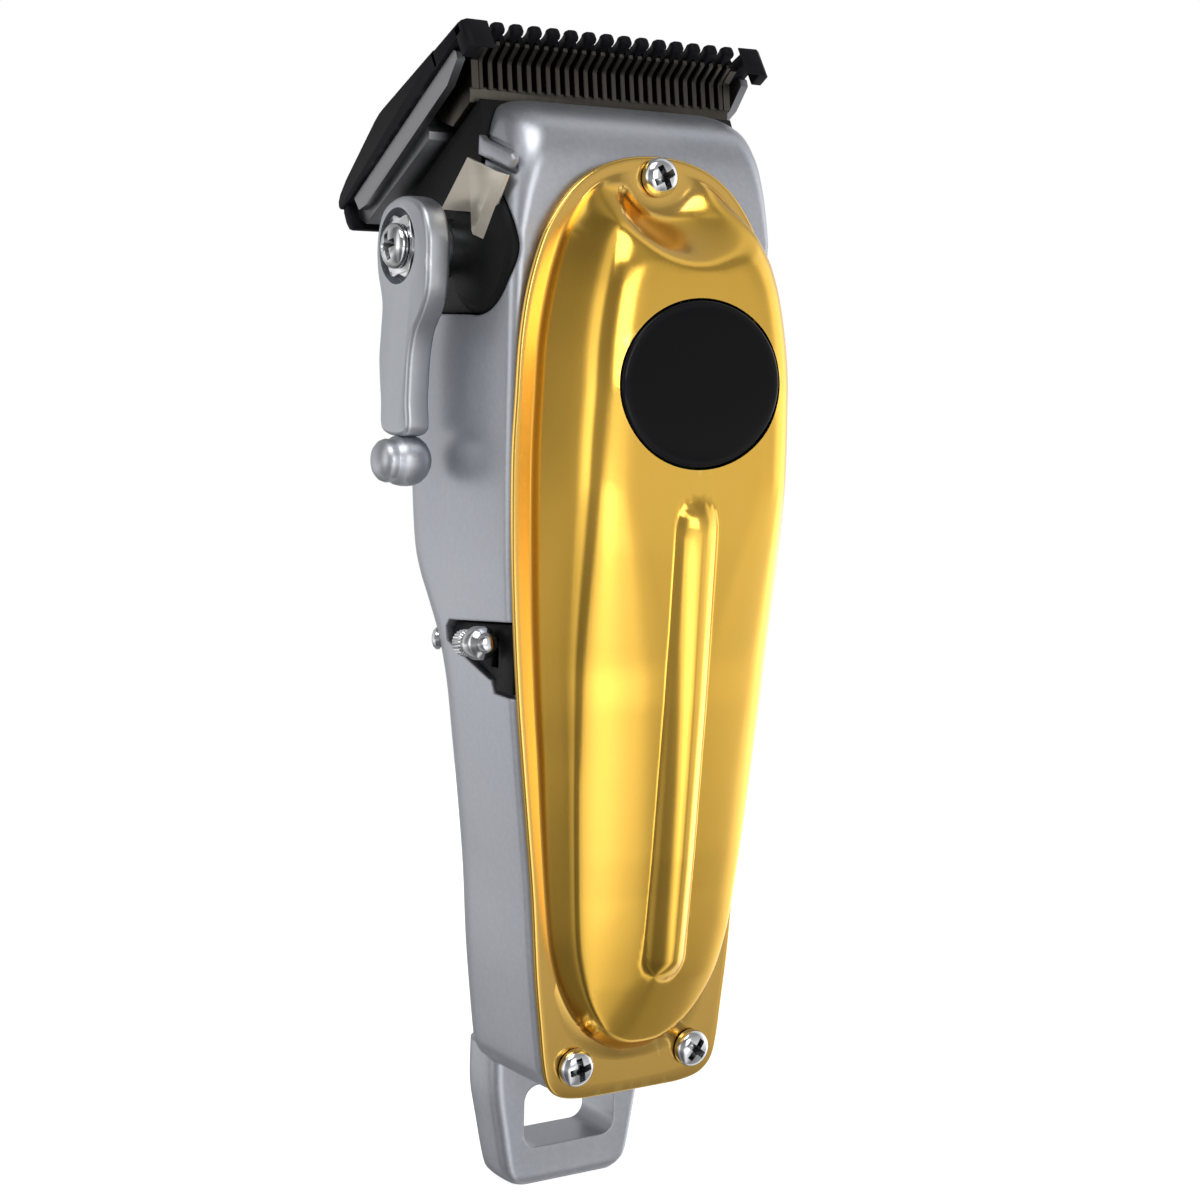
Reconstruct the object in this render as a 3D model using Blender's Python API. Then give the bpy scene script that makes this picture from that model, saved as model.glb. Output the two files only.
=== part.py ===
"""Cordless hair clipper, upright on its hanging loop: blades up, cover to the front (-Y), taper lever on -X.

Positions are written as (x, h, z) in millimetres: h is the distance in front of the cover's flange,
so the body lies at negative h. The frame's origin is the middle of the loop's flat bottom end.
"""

import math

import bmesh
import bpy
from mathutils import Vector

MM = 0.001

# Overall sizes. The tables and places below are written for the stock length and width: a longer body takes
# up the difference in its plain grip, and a wider one carries its side pieces outwards.
LENGTH = 154.6
BODY_WIDTH = 40.8
STOCK_LENGTH = 154.6
STOCK_WIDTH = 40.8
GRIP_LOW_Z = 30.0
GRIP_HIGH_Z = 70.0
LOOP_MID_H = -18.7
WALL = 1.8
GAP = 0.3
BLADE_GAP = 0.1

# Cover.
COVER_WALL = 1.2
CROWN_HALF_WIDTH = 17.8
SCREW_TOP_Z = 135.8
SCREW_LOW_X = 9.1
SCREW_LOW_Z = 21.5
SCREW_HEAD_R = 2.5
SCREW_SHANK_R = 1.1
SCOOP_FLAT_R = 5.0
SCOOP_RAMP = 4.5
BAR_LOW_Z = 36.5
BAR_HIGH_Z = 92.5
BAR_HALF_WIDTH = 3.3
BAR_RISE = 1.4
DISPLAY_Z = 110.2
DISPLAY_RX = 11.8
DISPLAY_RZ = 10.3
DISPLAY_FRONT_H = 11.9

# Blades: u runs from the fixed blade's tip to its heel, v from the contact plane towards the cover side.
BLADE_ANGLE = math.radians(33.0)
CONTACT_TIP = (-9.4, 153.4)
FIXED_WIDTH = 46.0
FIXED_LENGTH = 39.5
FIXED_TOOTH_PITCH = 2.86
FIXED_SLOT_WIDTH = 0.62
FIXED_SLOT_LENGTH = 7.5
SHORT_TOOTH_SETBACK = 2.2
END_TOOTH_WIDTH = 3.2
CUTTER_WIDTH = 40.0
CUTTER_TIP_U = 2.6
CUTTER_TOOTH_PITCH = 1.43
CUTTER_SLOT_WIDTH = 0.6
CUTTER_KNEE_U = 5.6
CUTTER_DROP = 4.6
CUTTER_REAR_U = 15.4
CARRIER_FRONT_U = 16.2
CARRIER_REAR_U = 38.0
CARRIER_HALF_WIDTH = 19.8
CARRIER_THICKNESS = 4.6
CARRIER_WINDOW_HALF = 9.0
CARRIER_CLEARANCE = 1.2
BLADE_SCREW_X = 14.0
BLADE_SCREW_U = 29.0
BLADE_SCREW_SEAT = 3.0
TAPER_TRAVEL = 1.8
# Out of the contact plane towards the cover side, in (x, h, z).
BLADE_OUT = (0.0, math.sin(BLADE_ANGLE), -math.cos(BLADE_ANGLE))

# Chassis.
CHASSIS_HALF = 19.4
CHASSIS_WELL_HALF = 16.6
CHASSIS_SCREW_X = 9.0
CHASSIS_SCREW_Z = 122.6
NOTCH_R = 8.6
NOTCH_H = -9.6
NOTCH_Z = 126.2
NOTCH_FLOOR_X = -15.5

# Taper lever.
HUB_H = -18.9
HUB_Z = 126.5
CAM_SHAFT_R = 3.6
CAM_PIN_R = 1.2
CAM_THROW = 2.35
LEVER_SWING = math.radians(45.0)
LEVER_INNER_X = -23.4
LEVER_OUTER_X = -26.9
LEVER_RECESS = 0.9
LEVER_KNOB_X = -25.2
LEVER_KNOB_H = -18.8
LEVER_KNOB_Z = 99.2
TONGUE_LOW_X = -16.2
TONGUE_HIGH_X = -14.4

# Drive.
MOTOR_BACK_H = -29.5
MOTOR_R = 12.0
MOTOR_H = MOTOR_BACK_H + MOTOR_R
DISC_R = 4.0
DISC_CLEARANCE = 1.3
MOTOR_LOW_Z = 86.0
MOTOR_HIGH_Z = 114.0
DRIVE_THROW = 1.2
DRIVE_PIN_R = 1.3
FORK_CLEAR = 2.6
BATTERY_R = 9.1
BATTERY_LOW_Z = 25.0
BATTERY_HIGH_Z = 75.0
BATTERY_H = -12.6

# Switch.
SWITCH_Z = 76.4
SWITCH_TRAVEL = 2.0
SWITCH_FLOOR_X = -16.4
SWITCH_KNOB_X = -20.6
KNOB_R = 1.95
# Outlines (h, z) of the pocket in the body's side, and of the bezel that closes it.
SWITCH_RECESS = [(-2.6, 78.6), (-16.4, 78.6), (-17.4, 77.6), (-17.4, 75.8), (-6.6, 71.9), (-6.0, 70.3),
                 (-2.6, 70.3)]
SWITCH_BEZEL = [(-2.9, 78.3), (-16.2, 78.3), (-17.1, 77.4), (-17.1, 76.0), (-6.3, 72.2), (-5.6, 70.6),
                (-2.9, 70.6)]

# z, half width, front h, back h, back corner radius.
BODY_STATIONS = [
    (17.3, 9.5, -1.5, -23.6, 6.0), (18.3, 12.0, -1.5, -24.2, 7.0), (20.0, 13.2, -1.5, -24.4, 7.5),
    (22.5, 13.9, -1.5, -24.4, 8.0), (34.0, 15.3, -1.5, -24.5, 8.5), (44.5, 16.2, -1.5, -24.5, 9.0),
    (53.5, 17.2, -1.5, -24.4, 9.0), (62.5, 18.2, -1.5, -24.6, 9.0), (70.0, 19.0, -1.5, -25.3, 9.5),
    (76.0, 19.5, -1.5, -27.2, 10.0), (80.5, 19.8, -1.5, -29.6, 10.0), (84.5, 20.0, -1.5, -32.0, 10.0),
    (89.0, 20.2, -1.5, -33.2, 10.0), (100.0, 20.4, -1.5, -34.0, 10.0), (112.0, 20.4, -1.5, -34.2, 10.0),
    (124.0, 20.3, -1.5, -34.2, 10.0), (132.0, 19.9, -1.5, -34.0, 10.0), (137.0, 19.3, -1.6, -33.5, 10.0),
    (140.0, 18.9, -2.4, -33.0, 10.0), (142.5, 18.4, -4.2, -32.0, 9.0), (144.3, 17.7, -7.4, -31.0, 8.0),
    (145.3, 16.9, -11.0, -30.0, 7.0),
]
TAIL_STATIONS = [
    (0.0, 8.2, -15.4, -22.0, 1.6), (0.9, 9.4, -15.0, -22.4, 2.2), (2.6, 10.4, -15.0, -22.8, 2.6),
    (9.0, 11.6, -15.0, -23.3, 2.8), (14.0, 12.4, -15.0, -23.8, 3.2), (20.0, 12.6, -15.0, -24.0, 4.0),
]
# Right-hand half outlines, bottom to top: x, z.
FLANGE_HALF = [
    (0.0, 16.8), (4.0, 16.8), (8.0, 16.9), (11.1, 17.6), (13.0, 19.4), (13.8, 22.4), (14.4, 27.2),
    (15.2, 34.0), (16.0, 44.4), (17.0, 53.6), (18.0, 62.6), (18.8, 70.3), (19.6, 80.4), (20.1, 90.0), (20.3, 100.4),
    (20.0, 107.7), (19.6, 115.1), (18.7, 121.2), (17.1, 126.7), (15.3, 130.4), (12.2, 134.2), (8.6, 136.7),
    (4.3, 138.1), (0.0, 138.5),
]
CROWN_HALF = [
    (0.0, 22.5), (2.4, 22.7), (4.8, 23.6), (7.4, 25.4), (9.6, 28.0), (11.3, 31.0), (12.6, 34.6), (13.5, 38.6),
    (14.3, 45.4), (15.1, 53.9), (15.8, 62.6), (16.5, 70.3), (17.2, 80.4), (17.6, 90.0), (17.8, 100.4),
    (17.5, 107.7), (17.0, 115.1), (15.9, 121.2), (14.2, 126.3), (12.2, 129.8), (9.2, 132.9), (6.4, 134.3),
    (3.2, 135.1), (0.0, 135.3),
]
CROWN_HEIGHTS = [(22.0, 4.5), (33.0, 6.6), (50.0, 8.2), (70.0, 9.7), (90.0, 10.8), (110.0, 11.4),
                 (125.0, 10.6), (135.5, 8.4)]
CROWN_INSETS = [0.5, 1.0, 1.6, 2.4, 3.4, 4.5, 6.5, 9.0, 11.5, 13.2, 14.3, 15.0, 15.9, CROWN_HALF_WIDTH]


def up(z):
    """Height of a stock z on a body of this length: only the plain grip stretches."""
    share = min(max((z - GRIP_LOW_Z) / (GRIP_HIGH_Z - GRIP_LOW_Z), 0.0), 1.0)
    return z + (LENGTH - STOCK_LENGTH) * share


def across(x):
    """x of a casting or cover outline on a body of this width."""
    return x * BODY_WIDTH / STOCK_WIDTH


def outward(x):
    """x of a piece that is carried by the body's side."""
    return x + math.copysign((BODY_WIDTH - STOCK_WIDTH) / 2, x)


def spot(x, h, z):
    """A place in the part's frame, in metres."""
    return Vector((x * MM, (LOOP_MID_H - h) * MM, up(z) * MM))


def blade_spot(u, v):
    """(h, z) of a place in the blades' own plane."""
    h = CONTACT_TIP[0] - u * math.cos(BLADE_ANGLE) + v * math.sin(BLADE_ANGLE)
    z = CONTACT_TIP[1] - u * math.sin(BLADE_ANGLE) - v * math.cos(BLADE_ANGLE)
    return h, z


def mix(table, z):
    """Straight-line reading of a table of (z, value)."""
    if z <= table[0][0]:
        return table[0][1]
    for (low, first), (high, second) in zip(table, table[1:]):
        if z <= high:
            return first + (second - first) * (z - low) / (high - low)
    return table[-1][1]


def smooth(t):
    t = min(max(t, 0.0), 1.0)
    return t * t * (3.0 - 2.0 * t)


def material(name, colour, roughness, metallic):
    made = bpy.data.materials.get(name)
    if made is None:
        made = bpy.data.materials.new(name)
        made.use_nodes = True
        shader = made.node_tree.nodes["Principled BSDF"]
        shader.inputs["Base Color"].default_value = (*colour, 1.0)
        shader.inputs["Roughness"].default_value = roughness
        shader.inputs["Metallic"].default_value = metallic
        made.diffuse_color = (*colour, 1.0)
    return made


def finish(name, bm, look, origin=None, rounded=False):
    """Turn a bmesh into a named object; its origin is put on its joint's axis when one is given."""
    bmesh.ops.recalc_face_normals(bm, faces=bm.faces)
    if origin is not None:
        bmesh.ops.translate(bm, verts=bm.verts, vec=-origin)
    mesh = bpy.data.meshes.new(name)
    bm.to_mesh(mesh)
    bm.free()
    if rounded:
        for face in mesh.polygons:
            face.use_smooth = True
    obj = bpy.data.objects.new(name, mesh)
    bpy.context.scene.collection.objects.link(obj)
    if origin is not None:
        obj.location = origin
    if look is None:
        obj.hide_render = True
        obj.display_type = "WIRE"
    else:
        mesh.materials.append(look)
    return obj


def loft(rings, bm=None):
    """Closed solid through rings of equal point counts."""
    bm = bm or bmesh.new()
    rows = [[bm.verts.new(p) for p in ring] for ring in rings]
    count = len(rows[0])
    for low, high in zip(rows, rows[1:]):
        for i in range(count):
            j = (i + 1) % count
            bm.faces.new((low[i], low[j], high[j], high[i]))
    bm.faces.new(list(reversed(rows[0])))
    bm.faces.new(rows[-1])
    return bm


def prism(outline, low_x, high_x, bm=None):
    """Solid with an (h, z) outline, running along x."""
    return loft([[spot(x, h, z) for h, z in outline] for x in (low_x, high_x)], bm)


def blade_prism(outline, low_x, high_x, bm=None):
    return prism([blade_spot(u, v) for u, v in outline], low_x, high_x, bm)


def upright(outline, low_h, high_h, bm=None):
    """Solid with an (x, z) outline, running from front to back."""
    return loft([[spot(x, h, z) for x, z in outline] for h in (low_h, high_h)], bm)


def box(low, high, bm=None):
    (x0, h0, z0), (x1, h1, z1) = low, high
    return prism([(h0, z0), (h1, z0), (h1, z1), (h0, z1)], x0, x1, bm)


def turned(profile, centre, axis, steps=28, bm=None):
    """Round solid from (radius, distance along the axis) pairs; axis is in (x, h, z)."""
    along = Vector((axis[0], -axis[1], axis[2])).normalized()
    side = along.orthogonal().normalized()
    other = along.cross(side)
    length = math.hypot(*axis)
    rings = []
    for radius, reach in profile:
        middle = spot(*(c + a / length * reach for c, a in zip(centre, axis)))
        ring = []
        for i in range(steps):
            a = math.tau * i / steps
            ring.append(middle + (side * radius * math.cos(a) + other * radius * math.sin(a)) * MM)
        rings.append(ring)
    return loft(rings, bm)


def tube(points, radius, steps=8):
    """Round lead through (x, h, z) points."""
    path = [Vector(p) for p in points]
    rings = []
    for i, point in enumerate(path):
        ahead = path[min(i + 1, len(path) - 1)] - path[max(i - 1, 0)]
        side = ahead.cross(Vector((0.0, 1.0, 0.0))).normalized()
        other = ahead.cross(side).normalized()
        ring = []
        for k in range(steps):
            a = math.tau * k / steps
            ring.append(spot(*(point + side * radius * math.cos(a) + other * radius * math.sin(a))))
        rings.append(ring)
    return loft(rings)


def bend(points, pieces=5):
    """Catmull-Rom curve through the points."""
    path = [Vector(points[0])] + [Vector(p) for p in points] + [Vector(points[-1])]
    curve = []
    for a, b, c, d in zip(path, path[1:], path[2:], path[3:]):
        for k in range(pieces):
            t = k / pieces
            curve.append(0.5 * (2 * b + (c - a) * t + (2 * a - 5 * b + 4 * c - d) * t * t
                                + (3 * b - a - 3 * c + d) * t ** 3))
    curve.append(Vector(points[-1]))
    return curve


def cut(target, tool, operation="DIFFERENCE"):
    change = target.modifiers.new(tool.name, "BOOLEAN")
    change.operation = operation
    change.object = tool
    change.solver = "EXACT"


def section(half, front, back, front_r, back_r, steps=6):
    """Rounded rectangle in (x, h)."""
    ring = []
    corners = [(half - front_r, front - front_r, front_r, 90),
               (-(half - front_r), front - front_r, front_r, 180),
               (-(half - back_r), back + back_r, back_r, 270), (half - back_r, back + back_r, back_r, 360)]
    for x, h, r, end in corners:
        for k in range(steps + 1):
            a = math.radians(end - 90 + 90 * k / steps)
            ring.append((x + r * math.cos(a), h + r * math.sin(a)))
    return ring


def body_loft(stations, front_r, inset=0.0, front=None, low=None, high=None):
    rings = []
    for z, half, front_h, back_h, back_r in stations:
        if (low is not None and z < low) or (high is not None and z > high):
            continue
        ahead = front_h - inset if front is None else front
        ring = section(across(half) - inset, ahead, back_h + inset, front_r, max(back_r - inset, 1.0))
        rings.append([spot(x, h, z) for x, h in ring])
    return loft(rings)


def mirrored(half):
    """Closed outline from its right-hand half, at this body's width."""
    right = [(across(x), z) for x, z in half]
    return right + [(-x, z) for x, z in reversed(right[1:-1])]


def rounded_box(half_x, half_z, radius, centre_z, steps=4):
    outline = []
    for sx, sz, start in ((1, 1, 0), (-1, 1, 90), (-1, -1, 180), (1, -1, 270)):
        for k in range(steps + 1):
            a = math.radians(start + 90 * k / steps)
            outline.append((sx * (half_x - radius) + radius * math.cos(a),
                            centre_z + sz * (half_z - radius) + radius * math.sin(a)))
    return outline


def oval(rx, rz, centre_x, centre_z, steps=40):
    return [(centre_x + rx * math.cos(math.tau * i / steps), centre_z + rz * math.sin(math.tau * i / steps))
            for i in range(steps)]


def crown_height(x, z, inset):
    """Height of the crown over the flange: steep flank, scoop at the top screw, pressed bar."""
    flank = 1.0 - (1.0 - min(inset / 4.6, 1.0)) ** 2.3
    scoop = smooth((math.hypot(x, z - SCREW_TOP_Z) - SCOOP_FLAT_R) / SCOOP_RAMP)
    nearest = min(max(z, BAR_LOW_Z), BAR_HIGH_Z)
    bar = BAR_RISE * smooth((BAR_HALF_WIDTH - math.hypot(x, z - nearest)) / 1.3)
    return (mix(CROWN_HEIGHTS, z) * flank + 0.4 * smooth(inset / CROWN_HALF_WIDTH)) * scoop + bar


def cover_screw_spots():
    low_x = across(SCREW_LOW_X)
    return (0.0, SCREW_TOP_Z), (-low_x, SCREW_LOW_Z), (low_x, SCREW_LOW_Z)


def top_cover(look):
    bm = bmesh.new()
    flange = mirrored(FLANGE_HALF)
    crown = mirrored(CROWN_HALF)
    middle_z = 0.5 * (CROWN_HALF[0][1] + CROWN_HALF[-1][1])
    half_length = 0.5 * (CROWN_HALF[-1][1] - CROWN_HALF[0][1])
    rows = [[(x, 0.0, z) for x, z in flange], [(x, 0.0, z) for x, z in crown]]
    for inset in CROWN_INSETS:
        shrink_x = 1.0 - inset / CROWN_HALF_WIDTH
        shrink_z = 1.0 - inset / half_length
        row = []
        for x, z in crown:
            px, pz = x * shrink_x, middle_z + (z - middle_z) * shrink_z
            row.append((px, crown_height(px, pz, inset), pz))
        rows.append(row)
    rings = [[bm.verts.new(spot(*p)) for p in row] for row in rows]
    count = len(flange)
    for low, high in zip(rings, rings[1:]):
        for i in range(count):
            j = (i + 1) % count
            bm.faces.new((low[i], low[j], high[j], high[i]))
    bmesh.ops.remove_doubles(bm, verts=bm.verts, dist=1e-6)
    bmesh.ops.recalc_face_normals(bm, faces=bm.faces)
    facing = sum((f.normal.y * f.calc_area() for f in bm.faces))
    if facing > 0.0:
        bmesh.ops.reverse_faces(bm, faces=bm.faces)
    mesh = bpy.data.meshes.new("top_cover")
    bm.to_mesh(mesh)
    bm.free()
    mesh.materials.append(look)
    for face in mesh.polygons:
        face.use_smooth = True
    cover = bpy.data.objects.new("top_cover", mesh)
    bpy.context.scene.collection.objects.link(cover)
    wall = cover.modifiers.new("wall", "SOLIDIFY")
    wall.thickness = COVER_WALL * MM
    wall.offset = -1.0
    wall.use_even_offset = False
    for i, (x, z) in enumerate(cover_screw_spots()):
        hole = turned([(SCREW_SHANK_R + GAP, -4.0), (SCREW_SHANK_R + GAP, 4.0)], (x, 0.0, z), (0, 1, 0), 20)
        cut(cover, finish(f"guide_cover_hole_{i}", hole, None))
    window = upright(oval(DISPLAY_RX + GAP, DISPLAY_RZ + GAP, 0.0, DISPLAY_Z), 4.0, 16.0)
    cut(cover, finish("guide_display_hole", window, None))
    return cover


def body_shell(look):
    shell = finish("body_shell", body_loft(BODY_STATIONS, 1.2), look, rounded=False)
    tail = finish("guide_tail", body_loft(TAIL_STATIONS, 1.5), None)
    cut(shell, tail, "UNION")
    inner = body_loft(BODY_STATIONS, 1.0, inset=WALL, front=-3.4, low=22.0, high=142.0)
    cut(shell, finish("guide_inner", inner, None))
    mouth = [(x * 0.8, 79.0 + (z - 79.0) * 0.84) for x, z in mirrored(CROWN_HALF)]
    cut(shell, finish("guide_mouth", upright(mouth, -5.0, 2.0), None))
    rear = [(-10.2, 150.0), (-10.2, 117.7), (-60.0, 117.7), (-60.0, 150.0)]
    cut(shell, finish("guide_rear_cut", prism(rear, -40.0, 40.0), None))
    floor = -outward(NOTCH_FLOOR_X)
    side = turned([(NOTCH_R, -40.0), (NOTCH_R, -floor)], (0.0, NOTCH_H, NOTCH_Z), (1, 0, 0), 36)
    turned([(NOTCH_R, floor), (NOTCH_R, 40.0)], (0.0, NOTCH_H, NOTCH_Z), (1, 0, 0), 36, side)
    cut(shell, finish("guide_side_cut", side, None))
    hole = upright(rounded_box(7.3, 4.4, 2.2, 9.6), -30.0, -10.0)
    cut(shell, finish("guide_loop_hole", hole, None))
    pocket = prism(SWITCH_RECESS, -40.0, outward(SWITCH_FLOOR_X) - 1.0)
    cut(shell, finish("guide_switch_pocket", pocket, None))
    screws = bmesh.new()
    for x, z in cover_screw_spots():
        turned([(SCREW_SHANK_R + GAP, -7.0), (SCREW_SHANK_R + GAP, 2.0)], (x, 0.0, z), (0, 1, 0), 20, screws)
    cut(shell, finish("guide_screw_holes", screws, None))
    socket = box((-4.8, -9.2, 10.0), (4.8, -5.4, 30.0))
    cut(shell, finish("guide_socket_hole", socket, None))
    return shell


def pan_screw(name, head, direction, look, head_r=SCREW_HEAD_R, shank_r=SCREW_SHANK_R, length=6.0,
              origin=None):
    """Pan-head screw; head is the middle of its seat and direction points out of the head."""
    profile = [(shank_r * 0.4, -length), (shank_r, -length + 1.0), (shank_r, 0.0), (head_r, 0.0),
               (head_r, 0.7), (head_r * 0.86, 1.3), (head_r * 0.5, 1.65), (head_r * 0.15, 1.75)]
    return finish(name, turned(profile, head, direction, 24), look, origin, rounded=False)


def fixed_blade(look):
    outline = [(0.0, 0.0), (FIXED_LENGTH, 0.0), (FIXED_LENGTH + 0.8, -0.9), (FIXED_LENGTH, -1.9),
               (24.0, -4.6), (8.0, -2.5), (0.0, -1.4)]
    half = FIXED_WIDTH / 2
    blade = finish("fixed_blade", blade_prism(outline, -half, half), look)
    slots = bmesh.new()
    reach = half - END_TOOTH_WIDTH
    count = int(reach / (FIXED_TOOTH_PITCH / 2))
    for i in range(-count, count + 1):
        x = i * FIXED_TOOTH_PITCH / 2
        w = FIXED_SLOT_WIDTH / 2
        blade_prism([(-3.0, 2.0), (FIXED_SLOT_LENGTH, 2.0), (FIXED_SLOT_LENGTH, -8.0), (-3.0, -8.0)],
                    x - w, x + w, slots)
    cut(blade, finish("guide_fixed_slots", slots, None))
    short = bmesh.new()
    for i in range(-count, count, 2):
        x = (i + 0.5) * FIXED_TOOTH_PITCH / 2
        w = FIXED_TOOTH_PITCH / 4 - FIXED_SLOT_WIDTH / 4
        blade_prism([(-3.0, 2.2), (SHORT_TOOTH_SETBACK, 2.2), (SHORT_TOOTH_SETBACK, -8.2), (-3.0, -8.2)],
                    x - w, x + w, short)
    cut(blade, finish("guide_short_teeth", short, None))
    holes = bmesh.new()
    h, z = blade_spot(BLADE_SCREW_U, 0.0)
    for x in (-BLADE_SCREW_X, BLADE_SCREW_X):
        turned([(SCREW_SHANK_R + GAP, -2.6), (SCREW_SHANK_R + GAP, 3.0)], (x, h, z), BLADE_OUT, 20, holes)
    cut(blade, finish("guide_blade_holes", holes, None))
    return blade


def cutter_blade(look):
    drop_u = CUTTER_DROP * math.sin(BLADE_ANGLE)
    drop_v = CUTTER_DROP * math.cos(BLADE_ANGLE)
    base_u, base_v = CUTTER_KNEE_U + drop_u, 1.1 + drop_v
    outline = [(CUTTER_TIP_U, BLADE_GAP), (CUTTER_REAR_U, BLADE_GAP), (CUTTER_REAR_U, 2.8),
               (CUTTER_REAR_U - 2.4, base_v), (base_u, base_v), (CUTTER_KNEE_U, 1.1), (CUTTER_TIP_U, 0.8)]
    half = CUTTER_WIDTH / 2
    blade = finish("cutter_blade", blade_prism(outline, -half, half), look)
    slots = bmesh.new()
    count = int((half - 0.8) / CUTTER_TOOTH_PITCH)
    root_u, root_v = CUTTER_KNEE_U + drop_u * 0.58, 1.1 + drop_v * 0.58
    for i in range(-count, count):
        x = (i + 0.5) * CUTTER_TOOTH_PITCH
        w = CUTTER_SLOT_WIDTH / 2
        blade_prism([(-1.0, -1.0), (CUTTER_KNEE_U + 2.2, -1.0), (root_u + 1.6, root_v - 1.0),
                     (root_u - 0.6, root_v + 0.4), (-1.0, root_v + 0.4)], x - w, x + w, slots)
    cut(blade, finish("guide_cutter_slots", slots, None))
    return blade


def cutter_follower(look):
    """Plastic yoke on the cutter, with a fork that straddles the drive pin."""
    top = [(8.9, 5.3), (12.6, 5.3), (15.2, 3.3), (15.9, 3.3), (15.9, 8.4), (8.9, 8.4)]
    bm = blade_prism(top, -7.5, 7.5)
    follower = finish("cutter_follower", bm, look)
    h, z = blade_spot(14.4, 8.0)
    stem = box((-6.6, h - 3.2, 122.6), (6.6, h + 0.6, z + 0.6))
    cut(follower, finish("guide_stem", stem, None), "UNION")
    half = DRIVE_PIN_R + FORK_CLEAR
    slot = box((-half, h - 6.0, 118.0), (half, h + 4.0, 133.0))
    cut(follower, finish("guide_fork_slot", slot, None))
    return follower


def blade_carrier(look):
    """Plate under the fixed blade that slides with it, and a slotted tongue for the lever's cam pin."""
    v0, v1 = BLADE_GAP, BLADE_GAP + CARRIER_THICKNESS
    outline = [(CARRIER_FRONT_U, v0), (CARRIER_REAR_U, v0), (CARRIER_REAR_U + 0.8, v0 + 1.4),
               (CARRIER_REAR_U - 1.0, v1 - 0.8), (CARRIER_FRONT_U + 0.6, v1), (CARRIER_FRONT_U, v1 - 0.8)]
    plate = finish("blade_carrier", blade_prism(outline, -CARRIER_HALF_WIDTH, CARRIER_HALF_WIDTH), look)
    window = blade_prism([(10.0, -3.0), (31.0, -3.0), (31.0, 9.0), (10.0, 9.0)], -CARRIER_WINDOW_HALF,
                         CARRIER_WINDOW_HALF)
    cut(plate, finish("guide_carrier_window", window, None))
    hub_u, hub_v = hub_in_blade_plane()
    slot_u = hub_u - TAPER_TRAVEL / 2
    end_v = hub_v + 0.9
    tongue = blade_prism([(slot_u - 3.0, v1 - 1.2), (slot_u + 3.0, v1 - 1.2), (slot_u + 3.0, end_v),
                          (slot_u - 3.0, end_v)], outward(TONGUE_LOW_X), outward(TONGUE_HIGH_X))
    cut(plate, finish("guide_tongue", tongue, None), "UNION")
    reach = CAM_PIN_R + 0.1
    low = hub_v - CAM_THROW - reach - 0.2
    high = hub_v - CAM_THROW * math.cos(LEVER_SWING / 2) + reach + 0.2
    slot = blade_prism([(slot_u - reach, low), (slot_u + reach, low), (slot_u + reach, high),
                        (slot_u - reach, high)], outward(TONGUE_LOW_X) - 2.8, outward(TONGUE_HIGH_X) + 2.4)
    cut(plate, finish("guide_cam_slot", slot, None))
    holes = bmesh.new()
    h, z = blade_spot(BLADE_SCREW_U, 0.0)
    for x in (-BLADE_SCREW_X, BLADE_SCREW_X):
        turned([(SCREW_SHANK_R + GAP, -1.0), (SCREW_SHANK_R + GAP, BLADE_SCREW_SEAT),
                (SCREW_HEAD_R + GAP, BLADE_SCREW_SEAT), (SCREW_HEAD_R + GAP, 9.0)], (x, h, z), BLADE_OUT, 20,
               holes)
    cut(plate, finish("guide_carrier_holes", holes, None))
    return plate


def hub_in_blade_plane():
    dh, dz = HUB_H - CONTACT_TIP[0], HUB_Z - CONTACT_TIP[1]
    u = -dh * math.cos(BLADE_ANGLE) - dz * math.sin(BLADE_ANGLE)
    v = dh * math.sin(BLADE_ANGLE) - dz * math.cos(BLADE_ANGLE)
    return u, v


def chassis(look):
    top_v = BLADE_GAP + CARRIER_THICKNESS + CARRIER_CLEARANCE
    top_front = blade_spot(6.4, top_v)
    top_rear = blade_spot(37.4, top_v)
    outline = [top_front, top_rear, (-37.0, 125.0), (-34.6, 118.1), (-10.6, 118.1),
               (-10.6, top_front[1] - 2.0)]
    half = outward(CHASSIS_HALF)
    well_half = outward(CHASSIS_WELL_HALF)
    frame = finish("chassis", prism(outline, -half, half), look)
    rounding = section(half, -2.0, -39.0, 0.5, 9.0)
    envelope = loft([[spot(x, h, z) for x, h in rounding] for z in (110.0, 160.0)])
    cut(frame, finish("guide_chassis_envelope", envelope, None), "INTERSECT")
    nose_half = well_half - 0.4
    nose = box((-nose_half, -12.0, 119.6), (nose_half, -6.0, 139.6))
    cut(frame, finish("guide_chassis_nose", nose, None), "UNION")
    bulge_r = NOTCH_R - 0.4
    side_shift = outward(CHASSIS_HALF) - CHASSIS_HALF
    bulge = turned([(bulge_r - 1.2, -20.6), (bulge_r, -19.8), (bulge_r, NOTCH_FLOOR_X - 0.4)],
                   (-side_shift, NOTCH_H, NOTCH_Z), (1, 0, 0), 32)
    cut(frame, finish("guide_chassis_bulge", bulge, None), "UNION")
    well_front = MOTOR_H + DISC_R + DISC_CLEARANCE
    well = [(well_front, 160.0), (well_front, 112.0), (-33.0, 112.0), (-33.0, 160.0)]
    cut(frame, finish("guide_chassis_well", prism(well, -well_half, well_half), None))
    bearing_r = CAM_SHAFT_R + 0.08
    bearing = turned([(bearing_r, -40.0), (bearing_r, -10.0)], (0.0, HUB_H, HUB_Z), (1, 0, 0), 32)
    cut(frame, finish("guide_bearing", bearing, None))
    holes = bmesh.new()
    for x in (-CHASSIS_SCREW_X, CHASSIS_SCREW_X):
        turned([(SCREW_SHANK_R + GAP, -8.0), (SCREW_SHANK_R + GAP, 8.0)], (x, -9.0, CHASSIS_SCREW_Z),
               (0, 1, 0), 16, holes)
    cut(frame, finish("guide_chassis_holes", holes, None))
    return frame


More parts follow.
